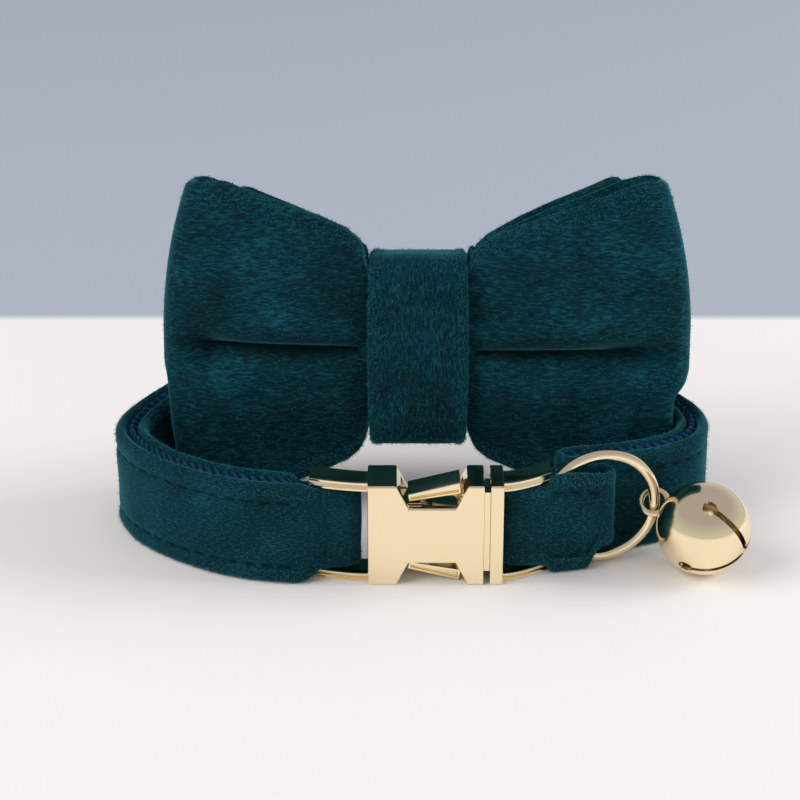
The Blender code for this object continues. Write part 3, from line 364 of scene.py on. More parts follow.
def strapPath(count):
    # even steps along the cubic curve through loopTable, bent to the left bar at its
    # start and to the tab's rear face at its end
    dense = alongRows(loopTable, np.linspace(0.0, 1.0, 2400))
    plan = dense[:, :2] * (strap["halfWidth"], strap["depth"])
    run = np.concatenate([[0.0], np.cumsum(np.linalg.norm(np.diff(plan, axis=0), axis=1))])
    even = np.linspace(0.0, run[-1], count)
    place = np.stack([np.interp(even, run, plan[:, axis]) for axis in (0, 1)], axis=1)
    lift, lean, bulk = (np.interp(even, run, dense[:, column]) for column in (2, 3, 4))
    tangent = np.gradient(place, axis=0)
    tangent /= np.linalg.norm(tangent, axis=1, keepdims=True)
    outward = np.stack([-tangent[:, 1], tangent[:, 0]], axis=1)
    near = 1.0 - smoothStep(even / strap["wrapRun"])
    wrap = 2.0 * (buckle["bar"] + buckle["metalGap"])
    flat = strap["webbing"] + 2.0 * strap["gap"]
    atBar = leftBar - (0.0, wrap / 2.0 + strap["velvet"] * bulk[0])
    tabRear = rightBar[1] + (place[-1, 0] - rightBar[0]) * tabAlong[1] / tabAlong[0]
    tabRear += (ringSize["wire"] / 2.0 + buckle["metalGap"] + tab["velvet"]) / tabAlong[0]
    atTab = np.array([place[-1, 0], tabRear + 2.0 * strap["gap"]])
    far = 1.0 - smoothStep((even[-1] - even) / strap["endRun"])
    place = place + (atBar - place[0]) * near[:, None] + (atTab - place[-1]) * far[:, None]
    return {"place": place, "outward": outward, "run": even, "lift": lift * strap["rearLift"],
            "lean": lean * math.radians(strap["leanDeg"]), "outer": strap["velvet"] * bulk,
            "lining": strap["lining"] * bulk, "room": flat + (wrap - flat) * near}


def narrowing(distance, hold, low, high, run=strap["pinchRun"]):
    # lower and upper edge of a strap that narrows into the buckle's window
    free = smoothStep((distance - hold) / run)
    window = buckle["armThick"] + buckle["metalGap"]
    lowest = np.maximum(low, window)
    highest = np.minimum(high, buckle["height"] - window)
    return lowest + (low - lowest) * free, highest + (high - highest) * free


def standing(plan, outward, level, lift, lean):
    # a standing sheet: place in plan, height, and a lean about its own half height
    middle = (lift + strap["height"] / 2.0)[:, None]
    slide = (level - middle) * np.tan(lean)[:, None]
    flat = plan[:, None, :] + outward[:, None, :] * slide[:, :, None]
    return np.concatenate([flat, level[:, :, None]], axis=2)


def halfTurn(start, end, bulge, turns):
    # half a circle from start to end that bulges to one side
    centre = (start + end) / 2.0
    first = start - centre
    angle = np.linspace(0.0, math.pi, turns + 2)[1:-1, None]
    return centre + first * np.cos(angle) + bulge * np.linalg.norm(first) * np.sin(angle)


def rowShares(count, marksAt=()):
    # even shares of a height, closer together at both edges and at each stitch line
    even = np.linspace(0.0, 1.0, count)
    eased = 0.5 - 0.5 * np.cos(even * math.pi)
    extra = [place + off for place in marksAt for off in (-0.032, -0.016, 0.0, 0.016, 0.032)]
    return np.sort(np.concatenate([0.45 * even + 0.55 * eased, extra]))


def joinRound(outer, lining, turns):
    right = np.linspace(outer[-1], lining[-1], turns + 2)[1:-1]
    left = np.linspace(lining[0], outer[0], turns + 2)[1:-1]
    return np.concatenate([outer, right, lining[::-1], left])


def nearLines(level, low, high, width):
    # 1 on the stitch line near each edge, falling off as exp(-(distance / width)^2)
    inset = strap["stitchIn"]
    below = np.exp(-((level - low - inset) / width) ** 2)
    return below + np.exp(-((level - high + inset) / width) ** 2)


def stitchRow(run, level, low, high):
    # 1 in the middle of a stitch and 0 between them
    dash = smoothStep(1.6 * np.abs(np.sin(run / strap["stitchPitch"] * math.pi)) - 0.45)
    return nearLines(level, low, high, strap["threadWide"]) * dash[:, None]


def stitchedRows():
    # shares of the height, with closer rows at both stitch lines
    share = strap["stitchIn"] / strap["height"]
    return rowShares(strap["rows"], (share, 1.0 - share))


def makeStrap(velvetLook, tapeLook):
    path = strapPath(strap["stations"])
    place, outward, run, lift = (path[key] for key in ("place", "outward", "run", "lift"))
    turns = strap["turns"]
    outerPlan = place - outward * (path["outer"] / 2.0)[:, None]
    liningPlan = place - outward * (path["outer"] + path["room"] + path["lining"] / 2.0)[:, None]
    high = lift + strap["height"]
    beyond = (1.0 - buckle["barLeft"]) * buckle["armLeft"] + buckle["metalGap"]
    outerEdges = narrowing(run, strap["frontHold"], lift, high)
    liningEdges = narrowing(run, beyond, lift, high)
    leftTurn = halfTurn(liningPlan[0], outerPlan[0], np.array([strap["wrapBulge"], 0.0]), turns)
    back = outerPlan[-1] - outerPlan[-2]
    rightTurn = halfTurn(outerPlan[-1], liningPlan[-1], back / np.linalg.norm(back), turns)
    plan = np.concatenate([outerPlan, rightTurn, liningPlan[::-1], leftTurn])
    low = joinRound(outerEdges[0], liningEdges[0], turns)
    high = joinRound(outerEdges[1], liningEdges[1], turns)
    level = low[:, None] + (high - low)[:, None] * stitchedRows()[None, :]
    leanAll = joinRound(path["lean"], path["lean"], turns)
    liftAll = joinRound(lift, lift, turns)
    middle = standing(plan, joinRound(outward, outward, turns), level, liftAll, leanAll)
    runAll = joinRound(run, run, turns)
    started = smoothStep((runAll - strap["stitchFrom"]) / strap["stitchFade"])[:, None]
    stitch = stitchRow(runAll, level, low[:, None], high[:, None]) * started
    groove = nearLines(level, low[:, None], high[:, None], strap["grooveWide"]) * started
    dip = strap["stitchDip"] * (0.45 * groove + 0.55 * stitch)
    dip = dip + waver(middle, strap["unevenDepth"], strap["unevenLong"])
    thickness = joinRound(path["outer"], path["lining"], turns)[:, None]
    coverSections = clothSections(middle, thickness, True, strap["rim"], dip, -1.0) + shift
    # painted shade: this mask darkens the stitch dents in the material
    marks = {"pressed": np.concatenate([strap["stitchShade"] * stitch, 0.0 * stitch], axis=1)}
    mesh = loftMesh("strapVelvet", coverSections, True, marks)
    cover = placePiece("strapVelvet", mesh, velvetLook, ["strap_cover"])

    fine = strapPath(strap["tapeStations"])
    tapePlan = fine["place"] - fine["outward"] * (fine["outer"] + fine["room"] / 2.0)[:, None]
    fineHigh = fine["lift"] + strap["height"]
    tapeLow, tapeHigh = narrowing(fine["run"], beyond, fine["lift"], fineHigh)
    tapeRows = rowShares(strap["tapeRows"])
    level = tapeLow[:, None] + (tapeHigh - tapeLow)[:, None] * tapeRows[None, :]
    # the woven edge is a row of slanting loops: a rounded saw tooth along the tape
    wave = 0.5 + 0.5 * np.cos(fine["run"] / strap["twistPitch"] * 2.0 * math.pi)
    atEdge = np.abs(2.0 * tapeRows - 1.0)[None, :] ** 8
    level = level - (strap["twistDepth"] * wave[:, None] * atEdge
                     * np.sign(tapeRows - 0.5)[None, :])
    start = np.searchsorted(fine["run"], buckle["bar"] + strap["webbing"])
    middle = standing(tapePlan, fine["outward"], level, fine["lift"], fine["lean"])[start:]
    sections = clothSections(middle, strap["tapeThickness"], False, strap["tapeRim"])
    tape = placePiece("strapTape", loftMesh("strapTape", sections + shift, False), tapeLook,
                      ["strap_webbing"])
    makePile(cover, coverSections, 5, 49000, 1)


def makeTab(velvetLook):
    # flat closed loop round the right bar and the ring, its outer corners cut off by height
    across = np.array([tabAlong[1], -tabAlong[0]])
    barRoom = buckle["bar"] + buckle["metalGap"]
    ringRoom = ringSize["wire"] / 2.0 + buckle["metalGap"]
    straight = tab["reach"] - ringRoom - tab["velvet"]
    distance = np.linspace(0.0, straight, tab["stations"])
    room = barRoom + (ringRoom - barRoom) * smoothStep(distance / strap["pinchRun"])
    half = (room + tab["velvet"] / 2.0)[:, None]
    line = rightBar + tabAlong * distance[:, None]
    front = line + across * half
    rear = line - across * half
    turns = tab["turns"]
    fold = halfTurn(front[-1], rear[-1], tabAlong, turns)
    wrap = halfTurn(rear[0], front[0], -tabAlong * tab["wrapBulge"], turns)
    end = smoothStep(2.0 * distance / straight - 1.0)
    low = tab["cornerLift"] * smoothStep((distance - straight) / tab["cornerRun"] + 1.0)
    high = strap["height"] - tab["drop"] * end
    beyond = (1.0 - buckle["barRight"]) * buckle["armRight"]
    frontEdges = narrowing(distance, tab["hold"] * beyond, low, high, tab["pinchRun"])
    rearEdges = narrowing(distance, beyond + buckle["metalGap"], low, high)
    edges = []
    for frontEdge, rearEdge in zip(frontEdges, rearEdges):
        edges.append(np.concatenate([frontEdge, np.full(turns, frontEdge[-1]), rearEdge[::-1],
                                     np.full(turns, frontEdge[0])]))
    plan = np.concatenate([front, fold, rear[::-1], wrap])
    distanceAll = np.concatenate([distance, np.full(turns, straight), distance[::-1],
                                  np.zeros(turns)])
    shares = stitchedRows()
    level = edges[0][:, None] + (edges[1] - edges[0])[:, None] * shares[None, :]
    repeated = np.repeat(plan[:, None, :], len(shares), axis=1)
    middle = np.concatenate([repeated, level[:, :, None]], axis=2)
    stitch = stitchRow(distanceAll, level, edges[0][:, None], edges[1][:, None])
    started = smoothStep((distanceAll - tab["stitchFrom"]) / strap["stitchFade"])[:, None]
    stitch = stitch * started
    dip = strap["stitchDip"] * stitch + waver(middle, tab["unevenDepth"], tab["unevenLong"])
    sections = clothSections(middle, tab["velvet"], True, tab["rim"], dip) + shift
    # painted shade: this mask darkens the stitch dents in the material
    marks = {"pressed": np.concatenate([strap["stitchShade"] * stitch, 0.0 * stitch], axis=1)}
    piece = placePiece("ringTab", loftMesh("ringTab", sections, True, marks), velvetLook,
                       ["ring_tab"])
    makePile(piece, sections, 5, 9000, 2)


# ---- the bow

bow = {
    "left": 0.0401, "right": 0.0431, "height": 0.0560, "front": 0.0060, "back": 0.0044,
    "cloth": 0.0018, "plyCloth": 0.0014, "plySpread": 0.0012, "plyLeft": 0.78,
    "plyRight": 0.84, "plyMargin": 0.03, "plyFade": 0.06, "sidePull": 0.13,
    "lowerEase": 0.07, "valleyDepth": 0.0032, "valleyNarrow": 0.085, "valleyWide": 0.20,
    "creaseDepth": 0.0048, "creaseWidth": 0.036, "slitLeft": 0.60, "slitRight": 0.42,
    # slitShadeSpread and dimpleShade set how widely and how strongly the crease and its dimples are
    # darkened, as painted shade
    "slitFade": 0.25, "slitShadeSpread": 0.28, "dimpleLeft": 0.80, "dimpleRight": 0.72,
    "dimpleLongLeft": 0.10, "dimpleLongRight": 0.17, "dimpleWide": 0.10,
    "dimpleDepth": 0.0022, "dimpleShade": 0.75, "lip": 0.0011, "lipRow": 0.12,
    "lipWide": 0.10, "gather": 0.00025, "gatherTurns": 19.0, "gatherRun": 0.10,
    "unevenDepth": 0.00022, "unevenLong": 0.021, "lineLeft": 0.040, "lineRise": 0.02,
    "lineRight": 0.012, "plyCorner": 0.0035, "frontLift": 0.035, "frontEase": 0.05,
    "backEase": 0.05, "plyEase": 0.06, "rightEase": 0.12,
    "leanDeg": 7.0, "x": 0.0009, "pressFade": 0.006, "floorPress": 0.0006,
    "knotWidth": 0.0156, "knotHeight": 0.0318, "knotDepth": 0.0128, "knotCloth": 0.0019,
    "knotCorner": 0.0042, "knotInset": 0.0011, "knotEase": 0.0020, "knotWaist": 0.04,
    "stackGap": 0.0004, "stations": 90, "rows": 90, "turns": 12, "rim": 0.0010,
    "elasticWidth": 0.010, "elasticCloth": 0.0010, "elasticCorner": 0.0014,
    "bandRows": 26, "bandRim": 0.0009, "bandUneven": 0.008, "hemIn": 0.0011,
    "hemInner": 0.0020, "hemWide": 0.0004, "hem": 0.00010,
}
# reach share, height share, front share, back share, edge share and crease share
wingTable = [
    (-0.060, 0.00, 0.00, 0.00, 0.80, 0.05), (0.000, 0.19, 0.00, 0.00, 0.78, 0.05),
    (0.012, 0.28, 0.05, 0.04, 0.72, 0.15), (0.035, 0.36, 0.15, 0.12, 0.62, 0.30),
    (0.090, 0.465, 0.50, 0.35, 0.48, 0.80), (0.230, 0.59, 0.80, 0.60, 0.42, 1.00),
    (0.400, 0.71, 0.95, 0.80, 0.42, 1.00), (0.600, 0.83, 1.00, 0.95, 0.44, 1.00),
    (0.780, 0.95, 0.95, 1.00, 0.50, 1.00), (0.900, 0.99, 0.75, 0.85, 0.58, 0.70),
    (0.955, 1.00, 0.50, 0.60, 0.70, 0.35),
]
lean = math.radians(bow["leanDeg"])
bowHigh = bow["height"] / 2.0 * math.cos(lean) - bow["floorPress"]
strapThick = strap["velvet"] + strap["webbing"] + strap["lining"] + 2.0 * strap["gap"]
elasticDepth = (bow["knotDepth"] / 2.0 + 2.0 * bow["stackGap"] + bow["elasticCloth"]
                + strapThick / 2.0)
elasticRise = (strap["rearLift"] + strap["height"] / 2.0 - bowHigh
               + elasticDepth * math.sin(lean)) / math.cos(lean)
bowDeep = (strap["depth"] - strapThick / 2.0 - elasticDepth * math.cos(lean)
           - elasticRise * math.sin(lean))
knotSide = bow["knotWidth"] / 2.0 * (1.0 + bow["knotWaist"]) + bow["stackGap"]
pressPath = strapPath(200)


def fromBow(points):
    # reach, height and depth in the bow's own leaning axes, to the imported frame
    x = points[..., 0] + bow["x"]
    y = bowDeep + points[..., 2] * math.cos(lean) + points[..., 1] * math.sin(lean)
    z = bowHigh + points[..., 1] * math.cos(lean) - points[..., 2] * math.sin(lean)
    return np.stack([x, y, z], axis=-1) + shift


def toBow(points):
    x, y, z = np.moveaxis(points - shift, -1, 0)
    y = y - bowDeep
    z = z - bowHigh
    return np.stack([x - bow["x"], z * math.cos(lean) + y * math.sin(lean),
                     y * math.cos(lean) - z * math.sin(lean)], axis=-1)


def keepInside(points, room):
    # presses the wings in, in plan, where the strap's lining stands beside or behind them
    world = fromBow(points) - shift
    x, y, z = np.moveaxis(world, -1, 0).copy()
    outward, lift, strapLean = (pressPath[key] for key in ("outward", "lift", "lean"))
    face = pressPath["place"] - outward * (pressPath["outer"] + pressPath["room"]
                                           + pressPath["lining"])[:, None]
    free = smoothStep((np.abs(points[..., 0]) - knotSide) / bow["knotEase"])
    for turn in range(3):
        apart = (x[..., None] - face[:, 0]) ** 2 + (y[..., None] - face[:, 1]) ** 2
        near = np.argmin(apart, axis=-1)
        away = outward[near]
        slide = (z - lift[near] - strap["height"] / 2.0) * np.tan(strapLean[near])
        over = ((x - face[near, 0]) * away[..., 0] + (y - face[near, 1]) * away[..., 1]
                - slide + room)
        beside = 1.0 - smoothStep((z - lift[near] - strap["height"]) / bow["pressFade"])
        push = np.maximum(over, 0.0) * beside * free
        x = x - push * away[..., 0]
        y = y - push * away[..., 1]
    return toBow(np.stack([x, y, z], axis=-1) + shift)


def pressFlat(points):
    # what would reach below the floor is laid flat on it
    floor = (-bowHigh + points[..., 2] * math.sin(lean)) / math.cos(lean)
    pressed = points.copy()
    pressed[..., 1] = np.maximum(points[..., 1], floor)
    return pressed


def plyCover(reach):
    end = 1.0 + bow["plyMargin"] + np.where(reach < 0.0, bow["plyLeft"], bow["plyRight"])
    return 1.0 - smoothStep((np.abs(reach) - end) / bow["plyFade"])[:, None]


def topShape(reach, out, layer):
    # how much higher or lower the upper edge runs than the table says, by wing and sheet
    if layer == 0:
        left = 1.0 + bow["frontLift"] * (1.0 - smoothStep((out - 0.75) / 0.2))
        right = 1.0 - bow["frontEase"] * (1.0 - out)
    else:
        ease = bow["backEase"] if layer == 1 else bow["plyEase"]
        left = 1.0 - ease * (1.0 - out ** 2)
        right = 1.0 - bow["rightEase"] * np.maximum(1.0 - out, 0.0) ** 3
    return np.where(reach < 0.0, left, right)[:, None]


def wingSheet(reach, rows, layer):
    # layer 0 is the front sheet, 1 the back sheet and 2 the ply behind it;
    # depth = depth share x (edge + (1 - edge) cos(half pi x row)), with a crease along
    # the middle that is narrow at the knot and a wide valley at the side
    size = np.abs(reach)
    out = np.maximum(size - 1.0, 0.0)
    height, fore, rear, edge, valley = readTable(wingTable, np.maximum(size - 1.0, -0.06), 0.02)
    roomHigh = bow["knotHeight"] / 2.0 - bow["knotCloth"] - bow["knotInset"] - bow["stackGap"]
    roomDeep = bow["knotDepth"] / 2.0 - bow["knotCloth"] - bow["stackGap"]
    widest = np.where(reach < 0.0, bow["left"], bow["right"])
    lobes = np.abs(rows)[None, :]
    body = edge + (1.0 - edge) * np.cos(lobes * math.pi / 2.0)
    pull = 1.0 - bow["sidePull"] * lobes ** 2.2 * (out ** 2)[:, None]
    x = np.sign(reach) * (knotSide * np.minimum(size, 1.0) + (widest - knotSide) * out)
    x = x[:, None] * pull
    z = (roomHigh + (bow["height"] / 2.0 - roomHigh) * height) * rows[None, :]
    z = z * (1.0 - bow["lowerEase"] * (1.0 - out)[:, None] * (rows < 0.0)[None, :])
    z = z * (1.0 + (topShape(reach, out, layer) - 1.0) * (rows > 0.0)[None, :]
             * smoothStep(out / 0.03)[:, None])
    if layer == 0:
        wide = bow["valleyNarrow"] + (bow["valleyWide"] - bow["valleyNarrow"]) * smoothStep(
            (out - 0.45) / 0.45)[:, None]
        line = rows[None, :] - creaseLine(reach)
        crease = np.exp(-np.abs(line / wide) ** 1.6) * valley * bow["valleyDepth"]
        lip = np.exp(-((line - bow["lipRow"]) / bow["lipWide"]) ** 2) * valley * bow["lip"]
        gathers = bow["gather"] * np.cos(rows * bow["gatherTurns"])[None, :]
        gathers = gathers * (np.exp(-out / bow["gatherRun"]) * smoothStep(out / 0.03))[:, None]
        fullest = roomDeep - bow["cloth"] / 2.0
        y = crease - lip + gathers - (fullest + (bow["front"] - fullest) * fore) * body
    else:
        fullest = roomDeep - bow["plyCloth"] - bow["cloth"] / 2.0 - 2.0 * bow["stackGap"]
        y = (fullest + (bow["back"] - fullest) * rear) * body
    flat = np.stack([x, z + 0.0 * x, y + 0.0 * x], axis=2)
    slow = waver(flat, bow["unevenDepth"], bow["unevenLong"])
    flat[..., 2] += slow * smoothStep(out / 0.15)[:, None]
    return flat


def creaseLine(reach):
    # the row that the crease follows: it rises a little along the left wing
    out = np.maximum(np.abs(reach) - 1.0, 0.0)
    left = bow["lineLeft"] + bow["lineRise"] * out
    return np.where(reach < 0.0, left, bow["lineRight"])[:, None]


def makeBowLoop(velvetLook):
    widest = wingTable[-1][0]
    shares = np.concatenate([[0.0, 0.3, 0.6, 0.8], np.linspace(0.9, 1.0, 8)[:-1],
                             1.0 + widest * np.linspace(0.0, 1.0, bow["stations"]) ** 1.3])
    reach = np.concatenate([-shares[:0:-1], shares])
    rows = np.linspace(-1.0, 1.0, bow["rows"])
    rows = 0.45 * rows + 0.55 * np.sign(rows) * np.abs(rows) ** 2.2
    covered = plyCover(reach)
    behind = (bow["plyCloth"] + 3.0 * bow["stackGap"]) * covered
    before = behind + (bow["cloth"] + 2.0 * bow["stackGap"]) * covered
    clear = bow["cloth"] / 2.0 + 2.0 * bow["stackGap"]
    front = softened(keepInside(wingSheet(reach, rows, 0), before + clear), 2)
    # the slit of the crease: its depth falls off as exp(-(distance / width)^2)
    out = np.maximum(np.abs(reach) - 1.0, 0.0)
    fromLine = rows[None, :] - creaseLine(reach)
    slit = np.exp(-(fromLine / bow["creaseWidth"]) ** 2)
    fades = np.where(reach < 0.0, bow["slitLeft"], bow["slitRight"])
    lasts = 1.0 - smoothStep((out - fades) / bow["slitFade"])
    slit = slit * (smoothStep(out / 0.04) * lasts)[:, None]
    # a dimple, one more bell-shaped dip, where the crease runs out into the side
    along = out - np.where(reach < 0.0, bow["dimpleLeft"], bow["dimpleRight"])
    along = along / np.where(reach < 0.0, bow["dimpleLongLeft"], bow["dimpleLongRight"])
    dimple = np.exp(-along[:, None] ** 2 - (fromLine / bow["dimpleWide"]) ** 2)
    front[..., 2] += bow["creaseDepth"] * slit + bow["dimpleDepth"] * dimple
    back = softened(keepInside(wingSheet(reach, rows, 1), behind + clear), 2)[::-1]
    angle = np.linspace(0.0, math.pi, bow["turns"] + 2)[1:-1, None, None]

    def fold(start, end, side):
        centre = (start + end) / 2.0
        out = np.zeros_like(start)
        out[:, 0] = side * (1.0 - widest) * (bow["left"] if side < 0.0 else bow["right"])
        return keepInside(centre + (start - centre) * np.cos(angle) + out * np.sin(angle), clear)

    middle = np.concatenate([front, fold(front[-1], back[0], 1.0), back,
                             fold(back[-1], front[0], -1.0)])
    sections = clothSections(middle, bow["cloth"], True, bow["rim"], 0.0, -1.0)
    sections = fromBow(pressFlat(sections))
    # painted shade: this mask darkens the crease and its dimples in the material, for the shadow in
    # them as well as the flattened pile
    pressed = np.zeros(sections.shape[:2])
    pressed[:len(front), :len(rows)] = np.maximum(slit ** bow["slitShadeSpread"],
                                                  bow["dimpleShade"] * dimple)
    mesh = loftMesh("bowLoop", sections, True, {"pressed": pressed})
    piece = placePiece("bowLoop", mesh, velvetLook, ["bow_loop"])
    makePile(piece, sections, 5, 49000, 3, (0.8, 0.0, -0.3))


def makeBowPly(velvetLook):
    middle = np.array([-0.98, -0.96, -0.94, -0.9, -0.6, -0.3, 0.0])
    reach = np.concatenate([-1.0 - bow["plyLeft"] * np.linspace(1.0, 0.0, 70) ** 1.3,
                            middle, -middle[-2::-1],
                            1.0 + bow["plyRight"] * np.linspace(0.0, 1.0, 86) ** 1.3])
    rows = np.linspace(-1.0, 1.0, 50)
    clear = bow["cloth"] / 2.0 + 2.0 * bow["stackGap"]
    clear = clear + (bow["plyCloth"] + 3.0 * bow["stackGap"]) * plyCover(reach)
    sheet = softened(keepInside(wingSheet(reach, rows, 2), clear), 2)
    space = 2.0 * bow["stackGap"] + (bow["cloth"] + bow["plyCloth"]) / 2.0
    out = smoothStep(np.abs(reach) - 1.0)[:, None]
    off = space + bow["plySpread"] * out * smoothStep(rows)[None, :]
    sheet = sheet + sheetNormals(sheet, False) * off[:, :, None]
    # rounded upper corners: the height falls by r - sqrt(r^2 - d^2) near each end
    width = np.abs(sheet[:, -1:, 0])
    end = np.where(reach < 0.0, width[0, 0], width[-1, 0])[:, None]
    near = np.clip((width - end) / bow["plyCorner"] + 1.0, 0.0, 1.0)
    sheet[..., 1] -= bow["plyCorner"] * (1.0 - np.sqrt(1.0 - near ** 2)) * smoothStep(rows)[None, :]
    sections = fromBow(pressFlat(clothSections(sheet, bow["plyCloth"], False, bow["rim"])))
    piece = placePiece("bowBackPly", loftMesh("bowBackPly", sections, False), velvetLook,
                       ["bow_back_ply"])
    makePile(piece, sections, 4, 16000, 4, (0.8, 0.0, -0.3))


def roundedTrack(height, depth, corner, count):
    # a rounded rectangle in height and depth, from its front middle, in even steps
    quarter = np.linspace(0.0, math.pi / 2.0, 24)
    points = []
    for number, (up, deep) in enumerate(((1, -1), (1, 1), (-1, 1), (-1, -1))):
        angle = math.pi - number * math.pi / 2.0 - quarter
        points.append(np.stack([up * (height / 2.0 - corner) + corner * np.sin(angle),
                                deep * (depth / 2.0 - corner) + corner * np.cos(angle)], axis=1))
    track = np.concatenate([*points, points[0][:1]])
    run = np.concatenate([[0.0], np.cumsum(np.linalg.norm(np.diff(track, axis=0), axis=1))])
    even = np.linspace(0.0, run[-1], count, endpoint=False)
    return np.stack([np.interp(even, run, track[:, axis]) for axis in (0, 1)], axis=1), run[-1]


def makeBand(name, look, node, track, width, cloth, centre, waist, hem):
    # a sheet carried round the track, its width along x, with a hem ridge at each side
    half = np.max(np.abs(track[:, 0]))
    bulge = 1.0 + waist * (1.0 - (track[:, 0] / half) ** 2)
    across = rowShares(bow["bandRows"]) - 0.5
    x = width * bulge[:, None] * across[None, :]
    z = track[:, 0][:, None] + centre[0] + 0.0 * x
    y = track[:, 1][:, None] + centre[1] + 0.0 * x
    middle = np.stack([x, z, y], axis=2)
    inside = np.minimum(x + width / 2.0, width / 2.0 - x)
    ridge = -hem * np.exp(-((inside - bow["hemIn"]) / bow["hemWide"]) ** 2)
    ridge = ridge + 0.6 * hem * np.exp(-((inside - bow["hemInner"]) / bow["hemWide"]) ** 2)
    dip = ridge + waver(middle, 0.5 * hem, bow["bandUneven"])
    sections = fromBow(clothSections(middle, cloth, True, bow["bandRim"], dip))
    piece = placePiece(name, loftMesh(name, sections, True), look, [node])
    return piece, sections


def makeKnot(velvetLook):
    track, length = roundedTrack(bow["knotHeight"] - bow["knotCloth"],
                                 bow["knotDepth"] - bow["knotCloth"], bow["knotCorner"], 150)
    piece, sections = makeBand("bowKnot", velvetLook, "bow_knot", track,
                               bow["knotWidth"], bow["knotCloth"], (0.0, 0.0),
                               bow["knotWaist"], bow["hem"])
    makePile(piece, sections, 5, 12000, 5)


def makeElastic(elasticLook):
    height = strap["height"] + 2.0 * bow["stackGap"] + bow["elasticCloth"]
    deep = strapThick + 2.0 * bow["stackGap"] + bow["elasticCloth"]
    track, length = roundedTrack(height, deep, bow["elasticCorner"], 110)
    piece = makeBand("elasticBand", elasticLook, "elastic_loop", track,
                     bow["elasticWidth"], bow["elasticCloth"],
                     (elasticRise, elasticDepth), 0.0, 0.0)[0]


# ---- ring and bell

bell = {
    "diameter": 0.0148, "wall": 0.0006, "slot": 0.0009, "slotEnd": 0.0023, "slotStart": 0.0010,
    "eye": 0.0052, "eyeWire": 0.0010, "axis": (0.80, -0.50, -0.25), "eyeTurnDeg": 38.0,
    "rollDeg": 32.0, "around": 128, "up": 72, "eyeAround": 72, "eyeSection": 20,
    "drillAround": 32, "rims": 0.00009, "rimDeg": 40.0, "sharpDeg": 50.0,
}


def torusGrid(diameter, wire, around, section):
    # radius = middle radius + wire radius x cos(turn), height = wire radius x sin(turn)
    angle = np.linspace(0.0, 2.0 * math.pi, around, endpoint=False)[:, None]
    turn = np.linspace(0.0, 2.0 * math.pi, section, endpoint=False)[None, :]
    spread = (diameter - wire) / 2.0 + wire / 2.0 * np.cos(turn)
    return np.stack([spread * np.cos(angle), spread * np.sin(angle),
                     wire / 2.0 * np.sin(turn) + 0.0 * angle], axis=2)


def turned(points, pitchX, pitchY, yaw):
    # rotation about x, then y, then z
    for axis, angle in ((0, pitchX), (1, pitchY), (2, yaw)):
        c, s = math.cos(angle), math.sin(angle)
        matrix = np.eye(3)
        i, j = [(1, 2), (2, 0), (0, 1)][axis]
        matrix[i, i] = c
        matrix[j, j] = c
        matrix[i, j] = -s
        matrix[j, i] = s
        points = points @ matrix.T
    return points


def makeRing(goldLook):
    grid = torusGrid(ringSize["diameter"], ringSize["wire"], ringSize["around"],
                     ringSize["section"])
    grid = turned(grid, math.pi / 2.0, 0.0, tabTurn) + ringMiddle + shift
    return placePiece("wireRing", loftMesh("wireRing", grid, True), goldLook,
                      ["ring"])


def boxGrid(low, high):
    x, y, z = zip(low, high)
    return np.array([[(x[k], y[a], z[b]) for a, b in ((0, 0), (1, 0), (1, 1), (0, 1))]
                     for k in (0, 1)])


def tubeGrid(radius, low, high, count):
    angle = np.linspace(0.0, 2.0 * math.pi, count, endpoint=False)
    ring = np.stack([radius * np.cos(angle), radius * np.sin(angle), 0.0 * angle], axis=1)
    return np.stack([ring + (0.0, 0.0, low), ring + (0.0, 0.0, high)])


def ballGrid(radius, around, up):
    # closed sphere about x: x = r cos(polar), spread = r sin(polar)
    polar = np.linspace(0.004, math.pi - 0.004, up)[:, None]
    angle = np.linspace(0.0, 2.0 * math.pi, around, endpoint=False)[None, :]
    return radius * np.stack([np.cos(polar) + 0.0 * angle, np.sin(polar) * np.cos(angle),
                              np.sin(polar) * np.sin(angle)], axis=2)


